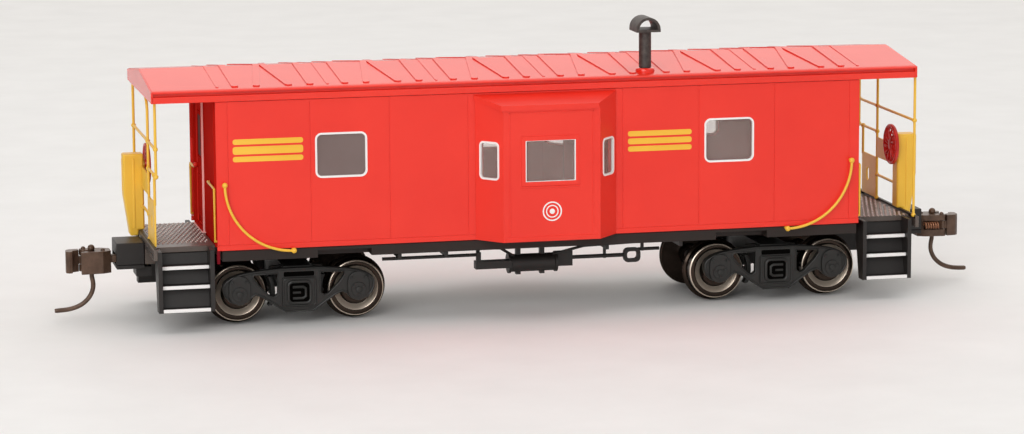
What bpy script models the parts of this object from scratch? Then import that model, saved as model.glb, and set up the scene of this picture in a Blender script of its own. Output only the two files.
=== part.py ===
"""Model bay-window caboose, HO scale (1:87), as an assembly of separate parts.

Frame: +X along the car, -Y is the right side, +Z up, origin under the middle of the car at the flange bottoms.
Lengths below are millimetres, and heights are measured from the rail head; the helpers turn them into metres.
End b (+X) is modelled once and end a (-X) is the same set of parts turned half a turn about Z.
"""

import math

import bmesh
import bpy
from mathutils import Matrix, Vector

MM = 0.001
FLANGE_DEPTH = 0.62  # the flanges reach this far below the rail head

# Trucks and wheels
TRUCK_X = 41.8
HALF_WHEELBASE = 10.1
TREAD_R = 4.8
FLANGE_R = TREAD_R + FLANGE_DEPTH
WHEEL_BACK_Y = 7.24
WHEEL_FACE_Y = 10.04
AXLE_R = 1.0
AXLE_TIP_Y = 11.9
SIDE_FRAME_Y = (10.9, 12.3)
KINGPIN_R = 1.0

# Body
BODY_HALF_X = 55.7
BODY_HALF_Y = 16.2
BODY_Z = (13.2, 38.1)
WALL = 1.0
WINDOW_Z = (24.8, 32.4)
WINDOW_WIDTH = 8.8
WINDOW_X = (-35.0, 32.15)
DOOR_Y = (-10.8, -1.5)
DOOR_Z = (14.2, 34.9)

# Bay: its plan is a trapezium against the side wall
BAY_BACK_Y = -16.3
BAY_FRONT_Y = -20.7
BAY_ROOT_X = 12.2
BAY_FRONT_X = 8.35
BAY_Z = (13.25, 35.3)
BAY_WALL = 0.8

# Roof
ROOF_HALF_X = 66.6
RIDGE_Z = 42.1
DRIP_Z = (39.85, 40.2)
DRIP_Y = 16.75
FASCIA_Y = 16.55
FASCIA_Z = (38.2, 39.25)
JACK_AT = (18.0, -13.5, 0)
JACK_R = 1.05

# Underframe and platforms
FLOOR_Z = (11.3, 13.1)
DECK_Z = (12.6, 13.5)
BEAM_X = (65.95, 66.6)
RAILING_X = 65.9
WIRE_R = 0.25
STEP_X = (56.5, 65.9)
STEP_TREADS = ((14.3, 10.6), (15.0, 7.4), (15.7, 3.6))  # outer edge, top height

# Couplers
COUPLER_X = 68.9
KNUCKLE_AT = (76.3, -1.6)
SHANK_Z = (9.35, 10.6)
HEAD_Z = (7.7, 11.5)
TAIL_Z = (9.05, 10.35)

GAP = 0.06


def clear_scene():
    for obj in list(bpy.data.objects):
        bpy.data.objects.remove(obj, do_unlink=True)


def new_collection(name):
    collection = bpy.data.collections.new(name)
    bpy.context.scene.collection.children.link(collection)
    return collection


def finish(name, colour, roughness, metallic=0.0):
    material = bpy.data.materials.new(name)
    material.use_nodes = True
    shader = material.node_tree.nodes["Principled BSDF"]
    shader.inputs["Base Color"].default_value = (*colour, 1.0)
    shader.inputs["Roughness"].default_value = roughness
    shader.inputs["Metallic"].default_value = metallic
    return material


# ---- shapes -------------------------------------------------------------------------------------


def helper(data):
    """Puts mesh or curve data in the scene as a scratch object."""
    obj = bpy.data.objects.new("scratch", data)
    scratch.objects.link(obj)
    return obj


def as_mesh(obj):
    """The evaluated shape of a scratch object as a mesh in world space. The object is removed."""
    bpy.context.view_layer.update()
    graph = bpy.context.evaluated_depsgraph_get()
    mesh = bpy.data.meshes.new_from_object(obj.evaluated_get(graph), depsgraph=graph)
    shape = bmesh.new()
    shape.from_mesh(mesh)
    bmesh.ops.transform(shape, matrix=obj.matrix_world, verts=shape.verts)
    bmesh.ops.remove_doubles(shape, verts=shape.verts, dist=1e-6)
    bmesh.ops.recalc_face_normals(shape, faces=shape.faces)
    shape.to_mesh(mesh)
    shape.free()
    bpy.data.objects.remove(obj, do_unlink=True)
    return mesh


def box(low, high, turn=0.0, bevel=0.0):
    """A block between two corners, turned in degrees about its own upright middle line."""
    size = [(b - a) * MM for a, b in zip(low, high)]
    middle = [(a + b) / 2 * MM for a, b in zip(low, high)]
    shape = bmesh.new()
    bmesh.ops.create_cube(shape, size=1.0)
    bmesh.ops.scale(shape, vec=size, verts=shape.verts)
    mesh = bpy.data.meshes.new("block")
    shape.to_mesh(mesh)
    shape.free()
    obj = helper(mesh)
    obj.location = middle
    obj.rotation_euler.z = math.radians(turn)
    if bevel:
        edge = obj.modifiers.new("edges", "BEVEL")
        edge.width = bevel * MM
        edge.segments = 2
    return as_mesh(obj)


def rod(start, end, radius, sides=16, end_radius=None):
    """A round bar, or a cone where end_radius is given, between two points."""
    start = Vector(start) * MM
    end = Vector(end) * MM
    along = end - start
    shape = bmesh.new()
    bmesh.ops.create_cone(
        shape,
        cap_ends=True,
        segments=sides,
        radius1=radius * MM,
        radius2=(radius if end_radius is None else end_radius) * MM,
        depth=along.length,
    )
    aim = Matrix.Translation((start + end) / 2) @ along.to_track_quat("Z", "Y").to_matrix().to_4x4()
    bmesh.ops.transform(shape, matrix=aim, verts=shape.verts)
    mesh = bpy.data.meshes.new("rod")
    shape.to_mesh(mesh)
    shape.free()
    return mesh


# For each plane, the world directions of an outline's first axis, its second axis and its thickness
PLANES = {
    "XY": ((1, 0, 0), (0, 1, 0), (0, 0, 1)),
    "XZ": ((1, 0, 0), (0, 0, 1), (0, -1, 0)),
    "YZ": ((0, 1, 0), (0, 0, 1), (1, 0, 0)),
}


def flat(points, plane, low, high):
    """An outline in one of the planes, filled and made thick from low to high across it."""
    curve = bpy.data.curves.new("outline", "CURVE")
    curve.dimensions = "2D"
    curve.fill_mode = "BOTH"
    curve.extrude = (high - low) / 2 * MM
    spline = curve.splines.new("POLY")
    spline.points.add(len(points) - 1)
    for spot, (first, second) in zip(spline.points, points):
        spot.co = (first * MM, second * MM, 0, 1)
    spline.use_cyclic_u = True
    axes = Matrix([Vector(axis) for axis in PLANES[plane]]).transposed()
    across = Vector([abs(part) for part in PLANES[plane][2]])
    obj = helper(curve)
    obj.matrix_world = Matrix.Translation(across * (low + high) / 2 * MM) @ axes.to_4x4()
    return as_mesh(obj)


def wire(points, radius=WIRE_R):
    """A bent round wire through the points, with filled ends."""
    curve = bpy.data.curves.new("wire", "CURVE")
    curve.dimensions = "3D"
    curve.bevel_depth = radius * MM
    curve.bevel_resolution = 2
    curve.use_fill_caps = True
    spline = curve.splines.new("POLY")
    spline.points.add(len(points) - 1)
    for spot, point in zip(spline.points, points):
        spot.co = (*[part * MM for part in point], 1)
    return as_mesh(helper(curve))


def turned(profile, axis, closed=False, steps=22):
    """A profile of (radius, distance along the axis), listed outer side first from top to bottom."""
    mesh = bpy.data.meshes.new("profile")
    spots = [(radius * MM, 0.0, along * MM) for radius, along in profile]
    edges = [(i, i + 1) for i in range(len(spots) - 1)]
    if closed:
        edges.append((len(spots) - 1, 0))
    mesh.from_pydata(spots, edges, [])
    obj = helper(mesh)
    screw = obj.modifiers.new("turn", "SCREW")
    screw.axis = "Z"
    screw.steps = steps
    screw.render_steps = steps
    screw.use_merge_vertices = True
    screw.merge_threshold = 1e-6
    obj.rotation_euler = {"X": (0, math.pi / 2, 0), "Y": (math.pi / 2, 0, 0), "Z": (0, 0, 0)}[axis]
    return as_mesh(obj)


def moved(mesh, offset):
    mesh.transform(Matrix.Translation(Vector(offset) * MM))
    return mesh


def mirrored(mesh):
    """A copy on the other side of the car."""
    copy = mesh.copy()
    copy.transform(Matrix.Diagonal((1, -1, 1, 1)))
    copy.flip_normals()
    return copy


def joined(pieces, cuts=()):
    """The pieces as one solid, less the cuts."""
    main = helper(pieces[0])
    tools = [(mesh, "UNION") for mesh in pieces[1:]]
    tools += [(mesh, "DIFFERENCE") for mesh in cuts]
    cutters = []
    for mesh, operation in tools:
        cutter = helper(mesh)
        cutters.append(cutter)
        boolean = main.modifiers.new("boolean", "BOOLEAN")
        boolean.operation = operation
        boolean.solver = "EXACT"
        boolean.object = cutter
    mesh = as_mesh(main)
    for cutter in cutters:
        bpy.data.objects.remove(cutter, do_unlink=True)
    return mesh


def arc(centre, radius, first, last, count):
    """Points on a circle in a plane, from one angle to another in degrees."""
    points = []
    for i in range(count + 1):
        angle = math.radians(first + (last - first) * i / count)
        points.append((centre[0] + radius * math.cos(angle), centre[1] + radius * math.sin(angle)))
    return points


def rounded(low, high, radius):
    """A rectangle with round corners."""
    points = []
    corners = (
        (high[0] - radius, high[1] - radius, 0),
        (low[0] + radius, high[1] - radius, 90),
        (low[0] + radius, low[1] + radius, 180),
        (high[0] - radius, low[1] + radius, 270),
    )
    for x, y, first in corners:
        points += arc((x, y), radius, first, first + 90, 3)
    return points


# ---- placing ------------------------------------------------------------------------------------


def empty(name, at, parent=None, turn=0.0):
    """An empty on a joint's axis, or the one that turns a set of parts about Z."""
    obj = bpy.data.objects.new(name, None)
    obj.empty_display_size = 2 * MM
    obj.location = Vector(at) * MM
    obj.rotation_euler.z = turn
    obj.parent = parent
    caboose.objects.link(obj)
    return obj


def place(name, mesh, material, parent):
    """Shows a mesh as one named part. Its points are already measured from the parent empty."""
    obj = bpy.data.objects.new(name, mesh)
    if not mesh.materials:
        mesh.materials.append(material)
        mesh.shade_smooth()
        mesh.set_sharp_from_angle(angle=math.radians(35))
    obj.parent = parent
    caboose.objects.link(obj)
    return obj


def both_ends(stem, mesh, material, pivots=None, at=(0, 0, 0)):
    """The same part at both ends: measured from the car's middle, or from a pivot at the point given."""
    moved(mesh, [-part for part in at])
    for end in "ab":
        place(f"{stem}_{end}", mesh, material, (pivots or ends)[end])


def at_corners(stem, mesh, material):
    """A part of the right side of end b, and its copies at the other three corners."""
    other = mirrored(mesh)
    place(f"{stem}_b_right", mesh, material, ends["b"])
    place(f"{stem}_a_left", mesh, material, ends["a"])
    place(f"{stem}_b_left", other, material, ends["b"])
    place(f"{stem}_a_right", other, material, ends["a"])


# ---- body ---------------------------------------------------------------------------------------


def window_outline(middle, margin=0.0):
    half = WINDOW_WIDTH / 2 - margin
    return rounded((middle - half, WINDOW_Z[0] + margin), (middle + half, WINDOW_Z[1] - margin), 1.0)


def make_body_shell():
    """Four walls in one moulding, open above and below, with openings for windows, bays and doors."""
    inner_x = BODY_HALF_X - WALL
    inner_y = BODY_HALF_Y - WALL
    outer = box((-BODY_HALF_X, -BODY_HALF_Y, BODY_Z[0]), (BODY_HALF_X, BODY_HALF_Y, BODY_Z[1]))
    cuts = [box((-inner_x, -inner_y, BODY_Z[0] - 1), (inner_x, inner_y, BODY_Z[1] + 1))]
    for side in (-1, 1):
        y_low, y_high = sorted((side * (inner_y - 1), side * (BODY_HALF_Y + 1)))
        for middle in WINDOW_X:
            cuts.append(flat(window_outline(-side * middle), "XZ", y_low, y_high))
        cuts.append(box((-10.8, y_low, 14.3), (10.8, y_high, 36.0)))
        x_low, x_high = sorted((side * (inner_x - 1), side * (BODY_HALF_X + 1)))
        door_low, door_high = sorted((side * DOOR_Y[0], side * DOOR_Y[1]))
        cuts.append(box((x_low, door_low, DOOR_Z[0]), (x_high, door_high, DOOR_Z[1])))
    place("body_shell", joined([outer], cuts), red, car)


def make_window_panes():
    for number, middle in enumerate(WINDOW_X, 1):
        pane = flat(window_outline(middle, 0.08), "XZ", -BODY_HALF_Y + 0.35, -BODY_HALF_Y + 0.75)
        place(f"window_pane_right_{number}", pane, clear, ends["b"])
        place(f"window_pane_left_{number}", pane, clear, ends["a"])


def make_doors():
    x_low = BODY_HALF_X - WALL + 0.2
    margin = 0.08
    slab = box(
        (x_low, DOOR_Y[0] + margin, DOOR_Z[0] + margin),
        (BODY_HALF_X - 0.25, DOOR_Y[1] - margin, DOOR_Z[1] - margin),
    )
    knob = rod((x_low + 0.3, DOOR_Y[0] + 1.4, 24.0), (BODY_HALF_X + 0.2, DOOR_Y[0] + 1.4, 24.0), 0.4, 12)
    both_ends("end_door", joined([slab, knob]), red, None)


def bay_outline(inset, back=BAY_BACK_Y):
    """The bay's plan, moved inwards by inset and cut off at back."""
    depth = BAY_BACK_Y - BAY_FRONT_Y
    taper = (BAY_ROOT_X - BAY_FRONT_X) / depth
    shift = inset * math.hypot(1, taper)
    front_y = BAY_FRONT_Y + inset

    def edge_x(y):
        return BAY_ROOT_X - taper * (BAY_BACK_Y - y) - shift

    half = [(edge_x(back), back), (edge_x(front_y), front_y)]
    return half + [(-x, y) for x, y in reversed(half)]


def slant_window(side, margin, grow):
    """A block across one slanted panel of the bay, for its window."""
    middle_x = side * (BAY_ROOT_X + BAY_FRONT_X) / 2
    middle_y = (BAY_BACK_Y + BAY_FRONT_Y) / 2
    angle = math.degrees(math.atan2(BAY_BACK_Y - BAY_FRONT_Y, BAY_ROOT_X - BAY_FRONT_X))
    half = 1.95 - margin
    low = (middle_x - half, middle_y - grow, 23.8 + margin)
    high = (middle_x + half, middle_y + grow, 30.1 - margin)
    return box(low, high, turn=side * angle)


def make_bays():
    """A shell open to the body, with a sloping visor on top and three window openings."""
    walls = flat(bay_outline(0), "XY", BAY_Z[0], BAY_Z[1])
    overhang = 0.6
    visor_plan = bay_outline(-0.45)
    visor_plan = [(x, y - overhang + 0.45 if y < BAY_BACK_Y - 1 else y) for x, y in visor_plan]
    visor = flat(visor_plan, "XY", BAY_Z[1] - 0.05, 38.0)
    hollow = flat(bay_outline(BAY_WALL, BAY_BACK_Y + 1.3), "XY", BAY_Z[0] + 0.9, 36.0)
    above = flat([(-15.0, 38.3), (-22.5, 36.5), (-22.5, 39.0), (-15.0, 39.0)], "YZ", -14, 14)
    cuts = [hollow, above, box((-4.6, -22, 23.3), (4.1, -19, 30.5))]
    cuts += [slant_window(side, 0, 1.5) for side in (-1, 1)]
    shell = joined([walls, visor], cuts)
    place("bay_right", shell, red, ends["b"])
    place("bay_left", shell, red, ends["a"])
    outer = bay_outline(BAY_WALL + 0.1, BAY_BACK_Y - 0.7)
    inner = bay_outline(BAY_WALL + 0.5, BAY_BACK_Y - 0.7)
    glazing = flat(outer + inner[::-1], "XY", 22.8, 31.0)
    place("bay_glazing_right", glazing, clear, ends["b"])
    place("bay_glazing_left", glazing, clear, ends["a"])


def make_roof():
    """A sheet roof with turned-down edges, and a board across each end."""
    half = [
        (FASCIA_Y, FASCIA_Z[0]),
        (FASCIA_Y, FASCIA_Z[1]),
        (FASCIA_Y - 0.55, FASCIA_Z[1] + 0.1),
        (FASCIA_Y - 0.55, DRIP_Z[0] - 0.1),
        (DRIP_Y, DRIP_Z[0]),
        (DRIP_Y, DRIP_Z[1]),
    ]
    inside = [(0, RIDGE_Z - 1.0), (15.3, 39.3), (15.3, FASCIA_Z[0])]
    outline = half + [(0, RIDGE_Z)] + [(-y, z) for y, z in reversed(half)]
    outline += [(-y, z) for y, z in reversed(inside)] + inside[1:]
    sheet = flat(outline, "YZ", -ROOF_HALF_X + 0.4, ROOF_HALF_X - 0.4)
    board = [(-FASCIA_Y, FASCIA_Z[0]), (FASCIA_Y, FASCIA_Z[0]), (FASCIA_Y, DRIP_Z[1] - 0.1)]
    board += [(0, RIDGE_Z - 0.1), (-FASCIA_Y, DRIP_Z[1] - 0.1)]
    boards = [
        flat(board, "YZ", *sorted((side * (ROOF_HALF_X - 0.8), side * ROOF_HALF_X))) for side in (-1, 1)
    ]
    collar = moved(turned([(0, 41.15), (1.35, 41.15), (1.6, 40.9), (1.6, 40.0), (0, 40.0)], "Z"), JACK_AT)
    place("roof", joined([sheet, *boards, collar]), red, car)


def make_smoke_jack():
    """A pipe that stands on the roof's collar, and its open arched hood, in one moulding."""
    x, y, _ = JACK_AT
    foot, top = 41.15 + GAP, 47.5
    half_length = 2.5
    centre = (x, 47.8)
    pipe = rod((x, y, foot), (x, y, top), JACK_R, 20)
    arch = arc(centre, 2.1, 0, 180, 12) + [(x - 2.1, 47.4), (x + 2.1, 47.4)]
    hood = flat(arch, "XZ", y - half_length, y + half_length)
    through = flat(arc(centre, 1.65, 0, 180, 12), "XZ", y - half_length - 1, y + half_length + 1)
    place("smoke_jack", joined([hood, pipe], [through]), dark_grey, car)


# ---- underframe, platforms and their fittings ---------------------------------------------------


def make_underframe():
    """The floor plate with its notched sides, the centre sill and the pads that the trucks turn on."""
    plate = box((-55.2, -15.8, FLOOR_Z[0]), (55.2, 15.8, FLOOR_Z[1]))
    sill = box((-35.0, -3.0, 9.9), (35.0, 3.0, FLOOR_Z[0] + 0.3))
    pads = []
    cuts = []
    for side in (-1, 1):
        at = side * TRUCK_X
        pads.append(rod((at, 0, 9.4), (at, 0, FLOOR_Z[0] + 0.3), 3.6, 24))
        cuts.append(rod((at, 0, 9.0), (at, 0, 12.2), KINGPIN_R + GAP, 16))
        x_low, x_high = sorted((side * 30.0, side * 39.1))
        for edge in (-1, 1):
            y_low, y_high = sorted((edge * 12.8, edge * 17.0))
            cuts.append(box((x_low, y_low, 11.0), (x_high, y_high, 12.5)))
    place("underframe", joined([plate, sill, *pads], cuts), dark_grey, car)


def make_weight():
    place("weight", box((-38, -11, 13.2), (38, 11, 16.0), bevel=0.3), steel, car)


def make_platforms():
    """Deck, end beam and the stub of centre sill that the coupler box hangs on."""
    deck = box((BODY_HALF_X + 0.15, -12, DECK_Z[0]), (BEAM_X[0] + 0.2, 12, DECK_Z[1]))
    beam = box((BEAM_X[0], -15.8, 11.9), (BEAM_X[1], 15.8, 13.8))
    stub = box((55.4, -3.6, 9.3), (BEAM_X[1], 3.6, DECK_Z[0] + 0.3))
    both_ends("platform", joined([deck, beam, stub]), brown_grey)


def make_steps():
    """Two stringers, a sloping back and three treads, under each corner of the car."""
    back = [(-14.0, 3.1), (-13.45, 3.1), (-11.1, 12.4), (-11.6, 12.4)]
    stringer = [(-12.2, 13.35), (-15.7, 13.35), (-15.7, 3.0), (-13.4, 3.0), (-11.0, 12.5), (-12.2, 12.5)]
    pieces = [flat(back, "YZ", STEP_X[0] + 0.2, STEP_X[1] - 0.2)]
    for x in (STEP_X[0], STEP_X[1] - 0.7):
        pieces.append(flat(stringer, "YZ", x, x + 0.7))
    for outer, top in STEP_TREADS:
        inner = 13.6 - (top - 3.0) * 0.25
        pieces.append(box((STEP_X[0] + 0.3, -outer, top - 0.6), (STEP_X[1] - 0.3, -inner, top)))
    at_corners("step", joined(pieces), dark_grey)


def make_railings():
    """The end railing: three posts, cross rails, a panel and the bracket beside the brake gear."""
    x = RAILING_X
    foot, head = 13.9, 38.05
    pieces = [
        wire([(x, -14.8, foot), (x, -14.8, head)]),
        wire([(x, 5.1, foot), (x, 5.1, head)]),
        wire([(x, 15.3, head), (x, 15.3, 25.9), (x, 4.9, 25.9)]),
        wire([(x, 13.0, 25.9), (x, 13.0, 20.8)]),
        wire([(x, -15.1, 30.5), (x, 15.6, 30.5)]),
        wire([(x, -3.8, 18.1), (x, 5.3, 18.1)]),
        box((x - 0.2, 5.2, foot + 0.1), (x + 0.2, 13.2, 21.2)),
        box((x - 0.22, -3.7, 21.3), (x + 0.22, 5.1, 24.9)),
    ]
    both_ends("end_railing", joined(pieces), yellow)


def make_brake_housings():
    """The tall cover of the hand brake gear, standing on the end beam."""
    beam_face = BEAM_X[1] + GAP
    outline = [(65.6, 27.0), (69.1, 27.0), (69.1, 20.0), (68.1, 12.9), (beam_face, 12.9)]
    outline += [(beam_face, 13.9), (65.6, 13.9)]
    both_ends("brake_housing", flat(outline, "XZ", -6.9, -4.1), yellow)


def make_brake_wheels():
    """A spoked hand wheel on its shaft, facing the body."""
    x, y, z = 64.8, -5.4, 25.1
    rim_r, wire_r = 3.25, 0.3
    section = [(rim_r + r, along) for r, along in arc((0, 0), wire_r, 90, -210, 5)]
    pieces = [moved(turned(section, "X", closed=True), (x, y, z))]
    pieces.append(rod((x - 0.5, y, z), (65.5, y, z), 0.6, 14))
    for spoke in range(5):
        angle = math.radians(90 + spoke * 72)
        tip = (x, y + rim_r * math.cos(angle), z + rim_r * math.sin(angle))
        pieces.append(rod((x, y, z), tip, 0.22, 6))
    both_ends("brake_wheel", joined(pieces), red)


def make_side_grab_irons():
    """A quarter circle of wire from the corner of the wall down to the sill, at each corner."""
    bend = [(x, -17.0, z) for x, z in arc((43.4, 24.3), 11.4, 0, -90, 10)]
    top = (bend[0][0], -BODY_HALF_Y - GAP, bend[0][2])
    foot = (bend[-1][0], -15.8 - GAP, bend[-1][2])
    at_corners("side_grab_iron", wire([top, *bend, foot], 0.23), yellow)


def make_end_handrails():
    """Two bent wires on each end wall."""
    x = 56.35
    wall = BODY_HALF_X + 0.06
    inner = [(wall, 5.1, 23.2), (x, 5.1, 23.2), (x, 13.0, 23.2), (x, 13.0, 14.3), (wall, 13.0, 14.3)]
    outer = [(wall, -11.2, 23.4), (x, -11.2, 23.4), (x, -15.9, 23.4), (x, -15.9, 14.5), (wall, -15.9, 14.5)]
    both_ends("end_handrail_inner", wire(inner, 0.23), yellow)
    both_ends("end_handrail_outer", wire(outer, 0.23), yellow)


def make_brake_rigging():
    """The air brake cylinder with its brackets, lever and pull rods, under the floor."""
    y, z = -8.0, 7.45
    shelf = FLOOR_Z[0] - GAP
    pieces = [
        rod((-4.7, y, z), (3.5, y, z), 1.55, 20),
        box((-3.5, y - 0.5, 5.5), (-2.7, y + 0.5, shelf)),
        box((0.7, y - 0.5, 5.5), (1.5, y + 0.5, shelf)),
        box((3.3, y - 0.4, 6.6), (6.5, y + 0.4, 9.2)),
        rod((6.3, y, 8.0), (15.8, y, 8.0), 0.35, 10),
        rod((18.2, y, 8.9), (22.0, y, 8.9), 0.3, 10),
        flat(rounded((15.6, 6.7), (18.6, 9.2), 0.8), "XZ", y - 0.4, y + 0.4),
        box((-10.8, -9.8, 6.9), (-4.5, -7.9, 8.2)),
        box((-10.7, -9.7, 7.5), (-9.9, -9.1, 9.8)),
        rod((-27.0, -9.4, 9.4), (-10.2, -9.4, 9.4), 0.3, 10),
    ]
    cuts = [flat(rounded((16.2, 7.3), (18.0, 8.6), 0.5), "XZ", y - 1, y + 1)]
    place("brake_rigging", joined(pieces, cuts), dark_grey, car)


# ---- couplers -----------------------------------------------------------------------------------


def make_coupler_boxes():
    """The draft gear box, open below and in front, with the post that the coupler swings on."""
    x_low, x_high, half = 66.7, 71.4, 3.5
    block = box((x_low, -half, 9.25), (x_high, half, 13.0))
    pocket = box((x_low + 0.5, -2.6, 8.5), (x_high + 1, 2.6, 10.9))
    post = rod((COUPLER_X, 0, 9.3), (COUPLER_X, 0, 11.5), 0.6, 16)
    shell = joined([block], [pocket])
    both_ends("coupler_box", joined([shell, post]), dark_grey)
    lid = box((x_low, -half, 8.55), (x_high, half, 9.19))
    boss = box((65.3, -2.2, 7.0), (68.0, 2.2, 8.7))
    both_ends("coupler_lid", joined([lid, boss]), dark_grey)


def lip_outline():
    """The coupler head from above: shank end, knuckle side round its pivot, mouth and guard arm."""
    return (
        [(71.9, 1.3), (71.9, -1.3), (73.3, -2.05), (75.9, -2.3)]
        + arc(KNUCKLE_AT, 0.76, -90, 90, 6)
        + [(75.9, -0.3), (75.9, 0.5), (77.0, 1.6), (77.0, 2.3), (73.3, 2.05)]
    )


def make_couplers():
    """Shank with its hub, and the slotted head that holds the knuckle on a pin."""
    knuckle_x, knuckle_y = KNUCKLE_AT
    hub = rod((COUPLER_X, 0, SHANK_Z[0]), (COUPLER_X, 0, SHANK_Z[1]), 1.3, 20)
    shank = box((COUPLER_X + 0.4, -0.8, SHANK_Z[0]), (72.4, 0.8, SHANK_Z[1]))
    head = flat(lip_outline(), "XY", *HEAD_Z)
    slot = box((72.9, -3.0, 8.9), (78.0, 1.2, 10.5))
    pin_way = box((74.6, -0.55, 7.0), (76.4, 0.85, 12.5))
    pin = rod((knuckle_x, knuckle_y, HEAD_Z[0] + 0.3), (knuckle_x, knuckle_y, 11.75), 0.3, 12)
    hole = rod((COUPLER_X, 0, 9.0), (COUPLER_X, 0, 11.0), 0.6 + 0.08, 16)
    body = joined([hub, shank, head], [slot, pin_way, hole])
    both_ends("coupler", joined([body, pin]), blackened, coupler_pivots, (COUPLER_X, 0, 10))


def make_knuckles():
    """The hook, its tail in the slot of the head, and the hole for the trip pin."""
    x, y = KNUCKLE_AT
    tail = arc(KNUCKLE_AT, 0.72, -100, 20, 5) + arc((75.1, 0.0), 0.75, 60, 200, 5)
    web = flat([(76.6, -2.1), (77.6, -2.1), (77.6, -0.95), (76.6, -1.0)], "XY", *TAIL_Z)
    hook = [(77.15, -2.3), (78.7, -2.1), (79.25, -1.6), (79.4, -0.9), (79.4, 0.3), (78.9, 0.75)]
    hook += [(78.35, 0.6), (78.2, -0.4), (77.15, -0.9)]
    pieces = [flat(tail, "XY", *TAIL_Z), web, flat(hook, "XY", HEAD_Z[0] + 0.05, HEAD_Z[1] - 0.05)]
    holes = [
        rod((x, y, 8.5), (x, y, 11.0), 0.3 + GAP, 12),
        rod((75.1, 0, 8.5), (75.1, 0, 11.0), 0.4 + GAP, 12),
    ]
    both_ends("knuckle", joined(pieces, holes), blackened, knuckle_pivots, (x, y, 10))


def make_trip_pins():
    """The curved wire that hangs from the knuckle's tail for magnetic uncoupling."""
    route = [(75.1, 12.1), (75.1, 7.2), (74.9, 5.8), (75.0, 4.7), (75.5, 3.6), (76.3, 2.7)]
    route += [(77.4, 2.0), (79.1, 1.5), (81.6, 1.35)]
    mesh = wire([(x, 0, z) for x, z in route], 0.4)
    both_ends("trip_pin", mesh, blackened, knuckle_pivots, (*KNUCKLE_AT, 10))


# ---- trucks -------------------------------------------------------------------------------------


def side_frame_outline():
    """One side frame from the side, about the truck's centre."""
    top = [(3.4, 9.05), (6.5, 8.8), (8.5, 8.6), (10.2, 8.3), (11.6, 7.8), (12.6, 7.2)]
    box_end = [(12.9, 6.6), (12.6, 4.2), (11.8, 3.5), (10.2, 3.3), (8.7, 3.6)]
    bottom = [(7.5, 5.0), (6.3, 4.3), (4.8, 3.3), (3.3, 2.3), (2.3, 1.65)]
    half = top + box_end + bottom
    return half + [(-x, z) for x, z in reversed(half)]


def make_truck_frames():
    """Two side frames joined by a bolster, with journal boxes and conical axle bearings."""
    inner, outer = SIDE_FRAME_Y
    pieces = [box((-2.5, -inner - 0.3, 5.2), (2.5, inner + 0.3, 9.3))]
    cuts = [rod((0, 0, 4.0), (0, 0, 10.0), KINGPIN_R + 0.1, 16)]
    opening = [(3.7, 8.2), (7.2, 8.1), (6.4, 6.3), (4.8, 4.7), (3.6, 5.2)]
    for side in (-1, 1):
        low, high = sorted((side * inner, side * outer))
        pieces.append(flat(side_frame_outline(), "XZ", low, high))
        low, high = sorted((side * (outer - 0.3), side * 12.7))
        pieces.append(box((-2.9, low, 2.4), (2.9, high, 7.7)))
        for end in (-1, 1):
            axle = end * HALF_WHEELBASE
            journal = arc((axle, 5.0), 1.75, 180, 360, 8) + [(axle + 1.75, 7.6), (axle - 1.75, 7.6)]
            low, high = sorted((side * (outer - 0.3), side * 12.9))
            pieces.append(flat(journal, "XZ", low, high))
            low, high = sorted((side * (inner - 1), side * (outer + 1.5)))
            cuts.append(flat([(end * x, z) for x, z in opening], "XZ", low, high))
            mouth = (axle, side * (inner - 0.1), TREAD_R)
            cuts.append(rod(mouth, (axle, side * (AXLE_TIP_Y + 0.1), TREAD_R), 0.9, 16, 0.25))
    both_ends("truck_frame", joined(pieces, cuts), truck_grey, truck_pivots)


def make_wheelsets():
    """A needle-point axle with two flanged wheels, turned as one."""
    half = [
        (0.12, AXLE_TIP_Y),
        (0.72, WHEEL_FACE_Y + 0.85),
        (AXLE_R, WHEEL_FACE_Y + 0.3),
        (1.7, WHEEL_FACE_Y - 0.05),
        (3.9, WHEEL_FACE_Y - 0.7),
        (4.3, WHEEL_FACE_Y),
        (TREAD_R - 0.08, WHEEL_FACE_Y),
        (TREAD_R, WHEEL_BACK_Y + 0.9),
        (FLANGE_R, WHEEL_BACK_Y + 0.35),
        (FLANGE_R - 0.2, WHEEL_BACK_Y),
        (AXLE_R, WHEEL_BACK_Y),
    ]
    profile = [(0.0, AXLE_TIP_Y)] + half + [(r, -y) for r, y in reversed(half)] + [(0.0, -AXLE_TIP_Y)]
    mesh = turned(profile, "Y")
    for end in "ab":
        for number in (1, 2):
            place(f"wheelset_{end}{number}", mesh, wheel_steel, axle_pivots[end, number])


def make_kingpin_screws():
    """The screw that a truck turns on, driven up into the floor."""
    head = [(0, 11.6), (KINGPIN_R, 11.6), (KINGPIN_R, 5.1), (1.9, 5.1), (1.9, 4.4), (1.3, 4.1), (0, 4.1)]
    slot = box((-0.2, -3, 3.0), (0.2, 3, 4.5))
    screw = moved(joined([turned(head, "Z")], [slot]), (TRUCK_X, 0, 0))
    both_ends("kingpin_screw", screw, steel)


# ---- assembly -----------------------------------------------------------------------------------

clear_scene()
caboose = new_collection("model_caboose")
scratch = new_collection("scratch")

red = finish("caboose_red", (0.72, 0.055, 0.035), 0.32)
yellow = finish("safety_yellow", (0.80, 0.47, 0.05), 0.4)
dark_grey = finish("underframe_grey", (0.035, 0.03, 0.028), 0.6)
brown_grey = finish("deck_grey", (0.16, 0.12, 0.10), 0.55)
truck_grey = finish("truck_grey", (0.05, 0.046, 0.042), 0.6)
blackened = finish("blackened_metal", (0.06, 0.038, 0.028), 0.45, 0.6)
wheel_steel = finish("wheel_steel", (0.32, 0.28, 0.26), 0.35, 0.9)
steel = finish("plain_steel", (0.35, 0.35, 0.36), 0.4, 0.9)
clear = finish("clear_plastic", (0.45, 0.42, 0.40), 0.15)

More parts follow.
